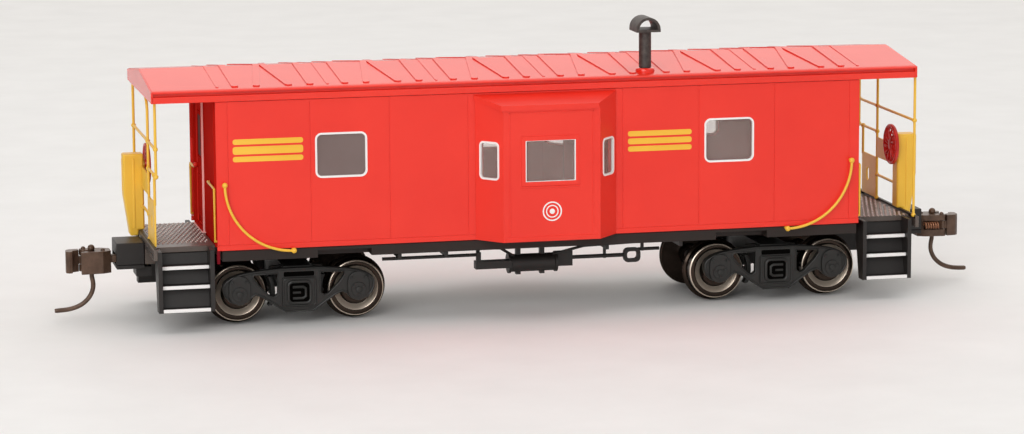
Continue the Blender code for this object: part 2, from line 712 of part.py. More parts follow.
car = empty("car", (0, 0, FLANGE_DEPTH))
ends = {"a": empty("end_a", (0, 0, 0), car, math.pi), "b": empty("end_b", (0, 0, 0), car)}
truck_pivots = {end: empty(f"truck_{end}_pivot", (TRUCK_X, 0, 0), ends[end]) for end in "ab"}
coupler_pivots = {end: empty(f"coupler_{end}_pivot", (COUPLER_X, 0, 10), ends[end]) for end in "ab"}
knuckle_offset = (KNUCKLE_AT[0] - COUPLER_X, KNUCKLE_AT[1], 0)
knuckle_pivots = {
    end: empty(f"knuckle_{end}_pivot", knuckle_offset, coupler_pivots[end]) for end in "ab"
}
axle_pivots = {}
for end in "ab":
    for number, side in ((1, 1), (2, -1)):
        at = (side * HALF_WHEELBASE, 0, TREAD_R)
        axle_pivots[end, number] = empty(f"wheelset_{end}{number}_axle", at, truck_pivots[end])

make_body_shell()
make_window_panes()
make_doors()
make_bays()
make_roof()
make_smoke_jack()
make_underframe()
make_weight()
make_platforms()
make_steps()
make_railings()
make_brake_housings()
make_brake_wheels()
make_side_grab_irons()
make_end_handrails()
make_brake_rigging()
make_coupler_boxes()
make_couplers()
make_knuckles()
make_trip_pins()
make_truck_frames()
make_wheelsets()
make_kingpin_screws()
bpy.data.collections.remove(scratch)
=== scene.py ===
"""Looks of the model caboose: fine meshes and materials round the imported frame, with camera, light and floor.

Lengths are millimetres and heights are measured from the rail head, as in the CAD. End b is +X, and end a is
the same set of pieces turned half a turn about Z. The right side is -Y, the side that the camera sees. The two
ends of the real car differ by fractions of a millimetre, which the trims and slides below put right.
"""

import math

import bmesh
import bpy
from mathutils import Matrix, Vector


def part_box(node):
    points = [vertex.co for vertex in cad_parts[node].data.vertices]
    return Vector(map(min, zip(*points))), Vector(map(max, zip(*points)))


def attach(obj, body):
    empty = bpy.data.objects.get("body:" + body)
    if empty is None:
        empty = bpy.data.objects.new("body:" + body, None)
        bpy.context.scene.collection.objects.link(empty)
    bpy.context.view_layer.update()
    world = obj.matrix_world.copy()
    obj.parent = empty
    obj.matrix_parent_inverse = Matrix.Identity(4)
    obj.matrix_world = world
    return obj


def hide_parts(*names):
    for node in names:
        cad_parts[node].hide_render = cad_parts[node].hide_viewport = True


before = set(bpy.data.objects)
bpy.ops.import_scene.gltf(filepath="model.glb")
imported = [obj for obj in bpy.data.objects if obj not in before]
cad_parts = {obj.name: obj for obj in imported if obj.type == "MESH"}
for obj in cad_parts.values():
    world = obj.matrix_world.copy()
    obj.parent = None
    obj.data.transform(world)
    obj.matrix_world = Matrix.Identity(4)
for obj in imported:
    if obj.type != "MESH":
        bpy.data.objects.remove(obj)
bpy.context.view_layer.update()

MM = 0.001
FLANGE_DEPTH = 0.62
HALF_TURN = Matrix.Rotation(math.pi, 4, "Z")


def node_box(node):
    """A CAD node's lowest and highest corners, in millimetres above the rail head."""
    low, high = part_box(node)
    drop = Vector((0, 0, FLANGE_DEPTH))
    return low / MM - drop, high / MM - drop


# ---- dimensions taken from the frame ---------------------------------------------------------------

BODY_LOW, BODY_HIGH = node_box("body_shell")
ROOF_HIGH = node_box("roof")[1]
STEP_LOW, STEP_HIGH = node_box("step_b_right")
TRUCK_X = sum(corner.x for corner in node_box("truck_frame_b")) / 2
AXLE_X = [sum(corner.x for corner in node_box(f"wheelset_b{n}")) / 2 - TRUCK_X for n in (1, 2)]
AXLE_Z = 4.8

# ---- dimensions of details -------------------------------------------------------------------------

PANEL_JOINTS = (13.4, 26.8, 40.2, 53.6)
STRIP_Z = 14.1
BODY_LEFT_EXTRA = 0.35
BODY_RIGHT_TRIM = 0.25
LEFT_JOINT_SHIFT = 0.4
WINDOW_Z = (24.8, 32.4)
WINDOW_WIDTH = 8.8
WINDOW_X = (-35.0, 32.15)
DOOR_Y = (-10.8, -1.5)
DOOR_Z = (14.2, 34.9)

BAY_BACK_Y = -16.3
BAY_FRONT_Y = -20.7
BAY_ROOT_X = 12.2
BAY_FRONT_X = 8.35

RIDGE_Z = 42.1
DRIP_Z = (39.85, 40.2)
DRIP_Y = 16.75
FASCIA_Y = 16.55
FASCIA_Z = (38.2, 39.25)
ROOF_RIGHT_TRIM = 0.9
SHEETS = 6
SHEET_LENGTH = 18.47
JACK_AT = (18.0, -13.5, 0)

DECK_Z = 13.5
RAILING_X = 65.9
STEP_B_WIDTH = 0.935
BRAKE_WHEEL_X = 64.9
BRAKE_WHEEL_Z = 25.1
KNUCKLE_AT = (76.3, -1.6)

# How far pieces move along X at end b and end a.
COUPLER_SLIDE = (-0.5, -0.2)
INNER_RAIL_SLIDE = (-0.3, 0.1)
OUTER_RAIL_SLIDE = (-0.38, 0)
GRAB_IRON_SLIDE = -0.43

HALF_WHEELBASE = 10.1
SIDE_FRAME_Y = (10.9, 12.3)
JOURNAL_Z = 5.0
SHOE_R = 5.75
SHOE_REACH = 26  # degrees of the wheel that a brake shoe covers on each side of its middle


# ---- materials ------------------------------------------------------------------------------------


def add_node(tree, kind, **values):
    node = tree.nodes.new(kind)
    for key, value in values.items():
        if key in node.inputs:
            node.inputs[key].default_value = value
        else:
            setattr(node, key, value)
    return node


def surface(name, dark, light, rough, bump=0.03, grain=900.0, patch=60.0, **shader_values):
    """A painted, moulded or metal surface: colour drifts between two shades and roughness between two values.

    grain and patch are the fineness of the relief and of the drift in colour, in noise cells a metre.
    """
    material = bpy.data.materials.new(name)
    material.use_nodes = True
    tree = material.node_tree
    shader = tree.nodes["Principled BSDF"]
    for key, value in shader_values.items():
        shader.inputs[key.replace("_", " ")].default_value = value
    where = add_node(tree, "ShaderNodeTexCoord")
    drift = add_node(tree, "ShaderNodeTexNoise", Scale=patch, Detail=4.0, Roughness=0.6)
    fine = add_node(tree, "ShaderNodeTexNoise", Scale=grain, Detail=3.0, Roughness=0.5)
    for noise in (drift, fine):
        tree.links.new(where.outputs["Object"], noise.inputs["Vector"])
    shade = add_node(tree, "ShaderNodeValToRGB")
    shade.color_ramp.elements[0].position = 0.3
    shade.color_ramp.elements[0].color = (*dark, 1.0)
    shade.color_ramp.elements[1].position = 0.7
    shade.color_ramp.elements[1].color = (*light, 1.0)
    tree.links.new(drift.outputs["Fac"], shade.inputs["Fac"])
    tree.links.new(shade.outputs["Color"], shader.inputs["Base Color"])
    spread = add_node(tree, "ShaderNodeMapRange")
    spread.inputs["To Min"].default_value = rough[0]
    spread.inputs["To Max"].default_value = rough[1]
    tree.links.new(fine.outputs["Fac"], spread.inputs["Value"])
    tree.links.new(spread.outputs["Result"], shader.inputs["Roughness"])
    relief = add_node(tree, "ShaderNodeBump", Strength=bump, Distance=0.00005)
    tree.links.new(fine.outputs["Fac"], relief.inputs["Height"])
    tree.links.new(relief.outputs["Normal"], shader.inputs["Normal"])
    return material


RED = surface("red_paint", (0.80, 0.024, 0.011), (0.86, 0.032, 0.015), (0.34, 0.44), 0.05)
# Darker red with little sheen for the end walls: painted shade where they face away from the light, the same red
# paint as the sides.
PAINTED_SHADE_RED = surface("painted_shade_red", (0.48, 0.012, 0.007), (0.56, 0.017, 0.010), (0.6, 0.7), 0.03, IOR=1.02)
# Pale pink for the door frame edges: a painted highlight, not worn paint.
PAINTED_HIGHLIGHT_PINK = surface("painted_highlight_edge", (0.98, 0.50, 0.46), (1.0, 0.58, 0.54), (0.3, 0.4), 0.02)
SHADE_RED = surface("deep_shaded_red", (0.15, 0.006, 0.012), (0.20, 0.009, 0.016), (0.6, 0.7), 0.03, IOR=1.1)
RED_GLOSS = surface(
    "red_roof_paint", (0.80, 0.026, 0.012), (0.86, 0.034, 0.016), (0.17, 0.22), 0.008, grain=300.0
)
DEEP_RED = surface("red_casting", (0.42, 0.012, 0.008), (0.62, 0.020, 0.012), (0.3, 0.42), 0.2, patch=900.0)
YELLOW = surface("yellow_paint", (0.82, 0.47, 0.036), (0.90, 0.55, 0.055), (0.34, 0.46), 0.05)
BAR_YELLOW = surface("printed_yellow", (0.86, 0.46, 0.03), (0.92, 0.53, 0.05), (0.4, 0.5), 0.02)
WHITE = surface("white_paint", (0.84, 0.82, 0.80), (0.92, 0.90, 0.88), (0.35, 0.45), 0.03)
GREY = surface("grey_plastic", (0.011, 0.008, 0.007), (0.018, 0.014, 0.012), (0.42, 0.56), 0.08)
SILL = surface("sill_grey", (0.016, 0.010, 0.008), (0.025, 0.017, 0.014), (0.45, 0.6), 0.06, IOR=1.38)
DECK = surface("deck_grey", (0.078, 0.058, 0.048), (0.115, 0.090, 0.076), (0.30, 0.42), 0.08)
# Near-black for plates set inside the recesses of the truck frames: painted shadow.
PAINTED_SHADOW_BLACK = surface(
    "painted_recess_shadow", (0.0016, 0.0014, 0.0012), (0.003, 0.0026, 0.0022), (0.6, 0.7), 0.02, IOR=1.05
)
# Pale colour of the raised tread dashes on the dark grey platform decks.
PALE_TREAD = surface("pale_tread", (0.46, 0.38, 0.34), (0.60, 0.51, 0.46), (0.22, 0.32), 0.02)
TRUCK = surface("truck_grey", (0.008, 0.0075, 0.006), (0.014, 0.013, 0.011), (0.40, 0.52), 0.12)
JACK = surface("jack_grey", (0.020, 0.012, 0.010), (0.075, 0.058, 0.050), (0.4, 0.6), 0.25, patch=1500.0)
BROWNED = surface(
    "browned_metal", (0.060, 0.032, 0.020), (0.150, 0.088, 0.058), (0.30, 0.46), 0.20,
    patch=400.0, Metallic=0.35,
)
BRIGHT = surface("turned_steel", (0.56, 0.46, 0.36), (0.76, 0.65, 0.54), (0.26, 0.36), 0.06, Metallic=0.82)
FACE = surface(
    "blackened_wheel", (0.022, 0.015, 0.011), (0.052, 0.036, 0.027), (0.16, 0.26), 0.06, Metallic=0.85
)
COPPER = surface("knuckle_spring", (0.30, 0.13, 0.07), (0.48, 0.23, 0.13), (0.25, 0.35), 0.05, Metallic=0.6)
STEEL = surface("plain_steel", (0.34, 0.34, 0.35), (0.44, 0.44, 0.45), (0.3, 0.45), 0.06, Metallic=0.9)
GLASS = surface("clear_pane", (0.66, 0.53, 0.48), (0.76, 0.62, 0.57), (0.05, 0.09), 0.0, Alpha=0.165)
HAZED = surface("hazed_pane", (0.17, 0.118, 0.108), (0.21, 0.148, 0.138), (0.05, 0.09), 0.0, Alpha=0.92)
DOOR_PANE = surface("door_pane", (0.10, 0.016, 0.013), (0.14, 0.024, 0.019), (0.3, 0.4), 0.0, IOR=1.04)


# ---- shapes ---------------------------------------------------------------------------------------


def helper(data):
    obj = bpy.data.objects.new("scratch", data)
    bpy.context.scene.collection.objects.link(obj)
    return obj


def as_mesh(obj):
    """The evaluated shape of a scratch object as a mesh in world space. The object is removed."""
    bpy.context.view_layer.update()
    graph = bpy.context.evaluated_depsgraph_get()
    mesh = bpy.data.meshes.new_from_object(obj.evaluated_get(graph), depsgraph=graph)
    shape = bmesh.new()
    shape.from_mesh(mesh)
    bmesh.ops.transform(shape, matrix=obj.matrix_world, verts=shape.verts)
    bmesh.ops.remove_doubles(shape, verts=shape.verts, dist=1e-6)
    bmesh.ops.recalc_face_normals(shape, faces=shape.faces)
    shape.to_mesh(mesh)
    shape.free()
    bpy.data.objects.remove(obj, do_unlink=True)
    return mesh


def bevelled(obj, width, segments=2):
    edge = obj.modifiers.new("edges", "BEVEL")
    edge.width = width * MM
    edge.segments = segments
    edge.limit_method = "ANGLE"
    edge.angle_limit = math.radians(35)


def softened(mesh, width):
    """The mesh with its flat faces joined and its real edges rounded."""
    obj = helper(mesh)
    dissolve(mesh)
    bevelled(obj, width)
    return as_mesh(obj)


def box(low, high, bevel=0.0):
    """A block between two corners, with round edges."""
    size = [(b - a) * MM for a, b in zip(low, high)]
    middle = [(a + b) / 2 * MM for a, b in zip(low, high)]
    shape = bmesh.new()
    bmesh.ops.create_cube(shape, size=1.0)
    bmesh.ops.scale(shape, vec=size, verts=shape.verts)
    mesh = bpy.data.meshes.new("block")
    shape.to_mesh(mesh)
    shape.free()
    obj = helper(mesh)
    obj.location = middle
    if bevel:
        bevelled(obj, bevel)
    return as_mesh(obj)


PLANES = {
    "XY": ((1, 0, 0), (0, 1, 0), (0, 0, 1)),
    "XZ": ((1, 0, 0), (0, 0, 1), (0, -1, 0)),
    "YZ": ((0, 1, 0), (0, 0, 1), (1, 0, 0)),
}


def flat(points, plane, low, high, bevel=0.0):
    """An outline in one of the planes, filled and made thick from low to high across it."""
    curve = bpy.data.curves.new("outline", "CURVE")
    curve.dimensions = "2D"
    curve.fill_mode = "BOTH"
    curve.extrude = (high - low) / 2 * MM
    spline = curve.splines.new("POLY")
    spline.points.add(len(points) - 1)
    for spot, (first, second) in zip(spline.points, points):
        spot.co = (first * MM, second * MM, 0, 1)
    spline.use_cyclic_u = True
    axes = Matrix([Vector(axis) for axis in PLANES[plane]]).transposed()
    across = Vector([abs(part) for part in PLANES[plane][2]])
    obj = helper(curve)
    obj.matrix_world = Matrix.Translation(across * (low + high) / 2 * MM) @ axes.to_4x4()
    mesh = as_mesh(obj)
    return softened(mesh, bevel) if bevel else mesh


def dissolve(mesh, degrees=1.0):
    """Joins flat neighbouring faces, so that bevels see only real edges."""
    shape = bmesh.new()
    shape.from_mesh(mesh)
    bmesh.ops.remove_doubles(shape, verts=shape.verts, dist=1e-6)
    bmesh.ops.dissolve_limit(
        shape,
        angle_limit=math.radians(degrees),
        verts=shape.verts,
        edges=shape.edges,
        use_dissolve_boundaries=False,
    )
    shape.to_mesh(mesh)
    shape.free()


def wire(points, radius, sizes=None, closed=False, sides=3):
    """A bent round wire through the points. sizes scales the radius point by point."""
    curve = bpy.data.curves.new("wire", "CURVE")
    curve.dimensions = "3D"
    curve.bevel_depth = radius * MM
    curve.bevel_resolution = sides
    curve.use_fill_caps = True
    spline = curve.splines.new("POLY")
    spline.points.add(len(points) - 1)
    for spot, point in zip(spline.points, points):
        spot.co = (*[part * MM for part in point], 1)
    for spot, size in zip(spline.points, sizes or ()):
        spot.radius = size
    spline.use_cyclic_u = closed
    return as_mesh(helper(curve))


def rod(start, end, radius):
    return wire([start, end], radius, sides=6)


def ball(centre, radius):
    shape = bmesh.new()
    bmesh.ops.create_uvsphere(shape, u_segments=16, v_segments=10, radius=radius * MM)
    bmesh.ops.translate(shape, vec=Vector(centre) * MM, verts=shape.verts)
    mesh = bpy.data.meshes.new("ball")
    shape.to_mesh(mesh)
    shape.free()
    return mesh


def turned(profile, axis, steps=48, closed=False):
    """A profile of (radius, distance along the axis), listed outer side first from top to bottom."""
    mesh = bpy.data.meshes.new("profile")
    spots = [(radius * MM, 0.0, along * MM) for radius, along in profile]
    edges = [(i, i + 1) for i in range(len(spots) - 1)]
    if closed:
        edges.append((len(spots) - 1, 0))
    mesh.from_pydata(spots, edges, [])
    obj = helper(mesh)
    screw = obj.modifiers.new("turn", "SCREW")
    screw.axis = "Z"
    screw.steps = steps
    screw.render_steps = steps
    screw.use_merge_vertices = True
    screw.merge_threshold = 1e-6
    obj.rotation_euler = {"X": (0, math.pi / 2, 0), "Y": (math.pi / 2, 0, 0), "Z": (0, 0, 0)}[axis]
    return as_mesh(obj)


def moved(mesh, offset):
    mesh.transform(Matrix.Translation(Vector(offset) * MM))
    return mesh


def gathered(pieces):
    """Several meshes in one, each still its own closed shape. Materials are kept."""
    parts = [helper(mesh) for mesh in pieces]
    with bpy.context.temp_override(
        active_object=parts[0], selected_editable_objects=parts, selected_objects=parts, object=parts[0]
    ):
        bpy.ops.object.join()
    mesh = parts[0].data
    bpy.data.objects.remove(parts[0], do_unlink=True)
    return mesh


def joined(pieces, cuts=()):
    """The pieces as one solid, less the cuts."""
    main = helper(pieces[0])
    cutters = []
    tools = [(mesh, "UNION") for mesh in pieces[1:]] + [(mesh, "DIFFERENCE") for mesh in cuts]
    for mesh, operation in tools:
        cutter = helper(mesh)
        cutters.append(cutter)
        boolean = main.modifiers.new("boolean", "BOOLEAN")
        boolean.operation = operation
        boolean.solver = "EXACT"
        boolean.object = cutter
    mesh = as_mesh(main)
    for cutter in cutters:
        bpy.data.objects.remove(cutter, do_unlink=True)
    return mesh


def mirrored(mesh):
    copy = mesh.copy()
    copy.transform(Matrix.Diagonal((1, -1, 1, 1)))
    copy.flip_normals()
    return copy


def arc(centre, radius, first, last, count):
    points = []
    for i in range(count + 1):
        angle = math.radians(first + (last - first) * i / count)
        points.append((centre[0] + radius * math.cos(angle), centre[1] + radius * math.sin(angle)))
    return points


def rounded(low, high, radius, count=6):
    """A rectangle with round corners."""
    points = []
    corners = (
        (high[0] - radius, high[1] - radius, 0),
        (low[0] + radius, high[1] - radius, 90),
        (low[0] + radius, low[1] + radius, 180),
        (high[0] - radius, low[1] + radius, 270),
    )
    for x, y, first in corners:
        points += arc((x, y), radius, first, first + 90, count)
    return points


def frame_ring(low, high, radius, width, plane, front, back, bevel=0.05):
    """A flat ring round a rectangle with round corners: a window rim or a door frame."""
    outer = rounded(low, high, radius)
    inner_low, inner_high = (low[0] + width, low[1] + width), (high[0] - width, high[1] - width)
    inner = rounded(inner_low, inner_high, max(radius - width, 0.05))
    ring = joined([flat(outer, plane, front, back)], [flat(inner, plane, front - 1, back + 1)])
    return softened(ring, bevel)


# ---- showing --------------------------------------------------------------------------------------


def show(name, mesh, material, nodes=(), body="root", bevel=0.0, sharp=38):
    """Puts a mesh in the scene as one piece that rides on a body and stands for the CAD nodes."""
    mesh.transform(Matrix.Translation((0, 0, FLANGE_DEPTH * MM)))
    if material:
        mesh.materials.clear()
        mesh.materials.append(material)
    mesh.shade_smooth()
    mesh.set_sharp_from_angle(angle=math.radians(sharp))
    obj = bpy.data.objects.new(name, mesh)
    bpy.context.scene.collection.objects.link(obj)
    if bevel:
        bevelled(obj, bevel)
    even = obj.modifiers.new("even shading", "WEIGHTED_NORMAL")
    even.keep_sharp = True
    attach(obj, body)
    if nodes:
        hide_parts(*nodes)
    return obj


def copied(mesh, half_turn=False, along=0.0):
    """A copy, turned half a turn about Z if asked, then moved along X."""
    copy = mesh.copy()
    if half_turn:
        copy.transform(HALF_TURN)
    return moved(copy, (along, 0, 0))


def both_ends(stem, mesh, material, node=None, body=None, slide=(0, 0)):
    """The same piece at both ends. node and body are stems that the end's letter completes."""
    for end, along in zip("ba", slide):
        nodes = [f"{node}_{end}"] if node else []
        riding_on = f"{body}_{end}" if body else "root"
        show(f"{stem}_{end}", copied(mesh, end == "a", along), material, nodes, riding_on)


def both_sides(stem, mesh, material, node=None, bevel=0.0):
    """A piece of the right side, and its copy on the left side."""
    for side in ("right", "left"):
        nodes = [f"{node}_{side}"] if node else []
        show(f"{stem}_{side}", copied(mesh, side == "left"), material, nodes, bevel=bevel)


def at_corners(stem, mesh, material, node=None, slide=0.0):
    """A piece of the right side of end b, and its copies at the other three corners."""
    other = mirrored(mesh)
    corners = (("b_right", mesh), ("a_left", mesh), ("b_left", other), ("a_right", other))
    for corner, source in corners:
        nodes = [f"{node}_{corner}"] if node else []
        show(f"{stem}_{corner}", copied(source, corner[0] == "a", slide), material, nodes)


def soft_copy(node, material, body="root", bevel=0.08):
    """A copy of a CAD node with its edges rounded, in its own material."""
    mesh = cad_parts[node].data.copy()
    mesh.transform(Matrix.Translation((0, 0, -FLANGE_DEPTH * MM)))
    dissolve(mesh)
    return show(f"{node}_fine", mesh, material, [node], body, bevel)


def repaint(node, material):
    """Gives a CAD node whose shape stays as it is its own material."""
    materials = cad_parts[node].data.materials
    materials.clear()
    materials.append(material)


# ---- body -----------------------------------------------------------------------------------------


def window_outline(middle, margin=0.0):
    half = WINDOW_WIDTH / 2 - margin
    return rounded((middle - half, WINDOW_Z[0] + margin), (middle + half, WINDOW_Z[1] - margin), 1.1)


def make_body():
    """Core walls, with thin panels on them whose joints are real grooves, and corner tabs."""
    wall = 0.9
    skin = 0.09
    groove = 0.07
    core_x, core_y = BODY_HIGH.x - skin, BODY_HIGH.y - skin
    core_right = core_x - BODY_RIGHT_TRIM
    top, bottom = BODY_HIGH.z, BODY_LOW.z
    core = [box((-core_x, -core_y, bottom), (core_right, core_y, top))]
    cuts = [box((-core_x + wall, -core_y + wall, bottom - 1), (core_right - wall, core_y - wall, top + 1))]
    joints = [-x for x in reversed(PANEL_JOINTS)] + list(PANEL_JOINTS)
    joints[0] -= LEFT_JOINT_SHIFT
    left_end, right_end = -BODY_HIGH.x - BODY_LEFT_EXTRA, BODY_HIGH.x - BODY_RIGHT_TRIM
    edges = [left_end] + joints + [right_end]
    panels = []
    for side in (-1, 1):
        y_low, y_high = sorted((side * (core_y - 0.3), side * BODY_HIGH.y))
        through = sorted((side * (core_y - wall - 1), side * (core_y + 2)))
        openings = [flat(window_outline(-side * middle), "XZ", *through) for middle in WINDOW_X]
        openings.append(box((-10.8, through[0], 14.3), (10.8, through[1], 36.0)))
        cuts += [mesh.copy() for mesh in openings]
        spans = [(-side * middle - 6, -side * middle + 6) for middle in WINDOW_X] + [(-11, 11)]
        for left, right in zip(edges, edges[1:]):
            low = (left + groove / 2, y_low, STRIP_Z + groove / 2)
            high = (right - groove / 2, y_high, top)
            holes = [
                mesh.copy()
                for mesh, (first, last) in zip(openings, spans)
                if last > left and first < right
            ]
            panel = box(low, high, bevel=0.04)
            panels.append(joined([panel], holes) if holes else panel)
        panels.append(box((left_end, y_low, bottom), (right_end, y_high, STRIP_Z - groove / 2), bevel=0.06))
        x_low, x_high = sorted((side * (core_x - wall - 1), side * (core_x + 2)))
        door_low, door_high = sorted((side * DOOR_Y[0], side * DOOR_Y[1]))
        cuts.append(box((x_low, door_low, DOOR_Z[0]), (x_high, door_high, DOOR_Z[1])))
    walls = gathered([joined(core, cuts), *panels])
    walls.materials.append(RED)
    walls.materials.append(PAINTED_SHADE_RED)
    # Faces turned outwards at the ends take the darker red of painted shade.
    for face in walls.polygons:
        in_end_shade = abs(face.normal.x) > 0.9 and abs(face.center.x) > 55.0 * MM
        face.material_index = int(in_end_shade)
    show("body_walls", walls, None, ["body_shell"])
    tab = box((-56.1, -16.25, 11.0), (-55.62, -15.6, bottom), bevel=0.05)
    show("corner_tabs", gathered([tab, copied(tab, True)]), SHADE_RED)


def make_end_walls():
    """Door frame, threshold, gable, door and its window on each end wall, and a pilaster at end a."""
    # The end-wall pieces below, all but the knob and pane, take the darker red of painted shade.
    face = BODY_HIGH.x
    pieces = [
        frame_ring((-11.4, 13.5), (-0.9, 37.9), 0.25, 0.5, "YZ", face - 0.9, face + 0.42, bevel=0.05),
        box((face - 0.9, -0.2, 36.2), (face + 0.25, 1.0, 38.0), bevel=0.06),
        box((face - 0.9, 12.4, 13.3), (face + 0.2, 13.0, 37.9), bevel=0.06),
    ]
    both_ends("end_trim", gathered(pieces), PAINTED_SHADE_RED)
    # Thin pale-pink strips along the frame's edges and threshold: painted highlight.
    edges = []
    for y in (-11.4, -0.9):
        edges.append(box((face + 0.02, y - 0.08, 13.7), (face + 0.36, y + 0.08, 37.8), bevel=0.03))
    edges.append(box((face - 0.2, -11.6, 13.4), (face + 0.6, -0.7, 13.7), bevel=0.08))
    both_ends("door_frame_highlights", gathered(edges), PAINTED_HIGHLIGHT_PINK)
    pilaster = box((face - 0.9, -16.15, 28.0), (face + 0.3, -13.6, 38.0), bevel=0.1)
    pilaster.transform(HALF_TURN)
    show("end_pilaster", pilaster, PAINTED_SHADE_RED)
    slopes = [(-15.2, 37.9), (15.2, 37.9), (15.2, 39.25), (0, 41.05), (-15.2, 39.25)]
    gable = flat(slopes, "YZ", face - 1.0, face - 0.05)
    both_ends("end_gable", gable, PAINTED_SHADE_RED)
    leaf = []
    low, high = node_box("end_door_b")
    mid_y = (low.y + high.y) / 2
    for z_low, z_high in ((15.4, 22.6), (25.2, 33.6)):
        corners = (low.y + 1.1, z_low), (high.y - 1.1, z_high)
        leaf.append(frame_ring(*corners, 0.3, 0.45, "YZ", face - 0.35, face - 0.05))
    both_ends("door_panels", gathered(leaf), PAINTED_SHADE_RED)
    knob_y, knob_z = low.y + 1.4, 24.0
    grip = ball((face + 0.35, knob_y, knob_z), 0.42)
    stem = rod((face - 0.3, knob_y, knob_z), (face + 0.3, knob_y, knob_z), 0.2)
    both_ends("door_knob", gathered([grip, stem]), RED)
    pane = box((face - 0.3, mid_y - 2.9, 25.9), (face - 0.16, mid_y + 2.9, 32.9), bevel=0.05)
    both_ends("door_pane", pane, DOOR_PANE)
    for end in "ab":
        soft_copy(f"end_door_{end}", PAINTED_SHADE_RED, bevel=0.05)


def make_side_windows():
    """White rims in the side walls, and the CAD panes in two kinds of glass."""
    rim_front = -BODY_HIGH.y - 0.10
    rims = []
    half = WINDOW_WIDTH / 2
    for middle in WINDOW_X:
        corners = (middle - half, WINDOW_Z[0]), (middle + half, WINDOW_Z[1])
        rims.append(frame_ring(*corners, 1.1, 0.33, "XZ", rim_front, rim_front + 0.5))
    both_sides("window_rims", gathered(rims), WHITE)
    for side in ("right", "left"):
        for number in (1, 2):
            hazed = (side, number) in (("left", 2), ("right", 1))
            repaint(f"window_pane_{side}_{number}", HAZED if hazed else GLASS)


def bay_outline(inset, back=BAY_BACK_Y):
    """The bay's plan, moved inwards by inset and cut off at back."""
    depth = BAY_BACK_Y - BAY_FRONT_Y
    taper = (BAY_ROOT_X - BAY_FRONT_X) / depth
    shift = inset * math.hypot(1, taper)
    front_y = BAY_FRONT_Y + inset

    def edge_x(y):
        return BAY_ROOT_X - taper * (BAY_BACK_Y - y) - shift

    half = [(edge_x(back), back), (edge_x(front_y), front_y)]
    return half + [(-x, y) for x, y in reversed(half)]


BAY_SLANT = math.degrees(math.atan2(BAY_BACK_Y - BAY_FRONT_Y, BAY_ROOT_X - BAY_FRONT_X))


def on_slant(mesh, side):
    """Takes a mesh built about the middle of a flat panel that faces -Y to a slanted panel of the bay."""
    middle = Vector((side * (BAY_ROOT_X + BAY_FRONT_X) / 2, (BAY_BACK_Y + BAY_FRONT_Y) / 2, 0)) * MM
    mesh.transform(Matrix.Translation(middle) @ Matrix.Rotation(math.radians(side * BAY_SLANT), 4, "Z"))
    return mesh


def make_bays():
    """The bay's three panels with a sloping visor over them, window surrounds, rims and glazing."""
    bottom = 13.25
    visor_thickness = 0.92
    walls = flat(bay_outline(0), "XY", bottom, 39.0)
    above = [(-15.0, 38.25), (-16.3, 37.85), (-21.0, 36.42), (-23.0, 35.8)]
    roofline = flat(above + [(-23.0, 41.0), (-15.0, 41.0)], "YZ", -14, 14)
    underside = [(y, z - visor_thickness) for y, z in above]
    below = flat(underside + [(-23.0, 30.0), (-15.0, 30.0)], "YZ", -14, 14)
    visor_plan = [(12.6, -15.7), (8.1, -21.02), (-8.7, -21.02), (-12.9, -15.7)]
    visor = joined([flat(visor_plan, "XY", 33.0, 39.0)], [below])
    hollow = flat(bay_outline(0.8, BAY_BACK_Y + 1.3), "XY", bottom + 0.9, 35.2)
    behind = box((-15, BAY_BACK_Y, 10), (15, -10, 42))
    cuts = [hollow, roofline, behind, box((-4.6, -22, 23.3), (4.1, -19, 30.5))]
    slant_window = rounded((-1.95, 23.8), (1.95, 30.1), 0.7)
    for side in (-1, 1):
        cuts.append(on_slant(flat(slant_window, "XZ", -1.5, 1.5), side))
    shell = joined([walls, visor], cuts)
    dissolve(shell)
    both_sides("bay_shell", shell, RED, "bay", bevel=0.1)
    front = BAY_FRONT_Y
    trim = [
        frame_ring((-5.3, 22.7), (4.8, 31.1), 0.3, 0.75, "XZ", front - 0.14, front + 0.1, bevel=0.08),
        box((-5.4, front - 0.16, 22.3), (4.9, front + 0.1, 22.62), bevel=0.1),
        box((-BAY_FRONT_X + 0.25, front - 0.1, 13.35), (BAY_FRONT_X - 0.25, front + 0.1, 14.1), bevel=0.05),
        box((-BAY_FRONT_X + 1.05, front - 0.09, 14.2), (-BAY_FRONT_X + 1.25, front + 0.1, 35.2), bevel=0.04),
        box((BAY_FRONT_X - 1.35, front - 0.09, 14.2), (BAY_FRONT_X - 1.15, front + 0.1, 35.2), bevel=0.04),
        box((-BAY_FRONT_X + 1.05, front - 0.09, 35.0), (BAY_FRONT_X - 1.15, front + 0.1, 35.2), bevel=0.04),
    ]
    both_sides("bay_trim", gathered(trim), RED)
    rims = [
        frame_ring((-4.62, 23.28), (4.12, 30.52), 0.12, 0.22, "XZ", front - 0.12, front + 0.4, bevel=0.04)
    ]
    for side in (-1, 1):
        slant_rim = frame_ring((-2.05, 23.7), (2.05, 30.2), 0.8, 0.33, "XZ", -0.12, 0.35, bevel=0.06)
        rims.append(on_slant(slant_rim, side))
    both_sides("bay_window_rims", gathered(rims), WHITE)
    front_pane = [(-4.75, 23.15), (4.25, 23.15), (4.25, 30.65), (-4.75, 30.65)]
    panes = [flat(front_pane, "XZ", front + 0.3, front + 0.45, bevel=0.03)]
    for side in (-1, 1):
        panes.append(on_slant(flat(slant_window, "XZ", 0.25, 0.4, bevel=0.03), side))
    both_sides("bay_panes", gathered(panes), GLASS, "bay_glazing")


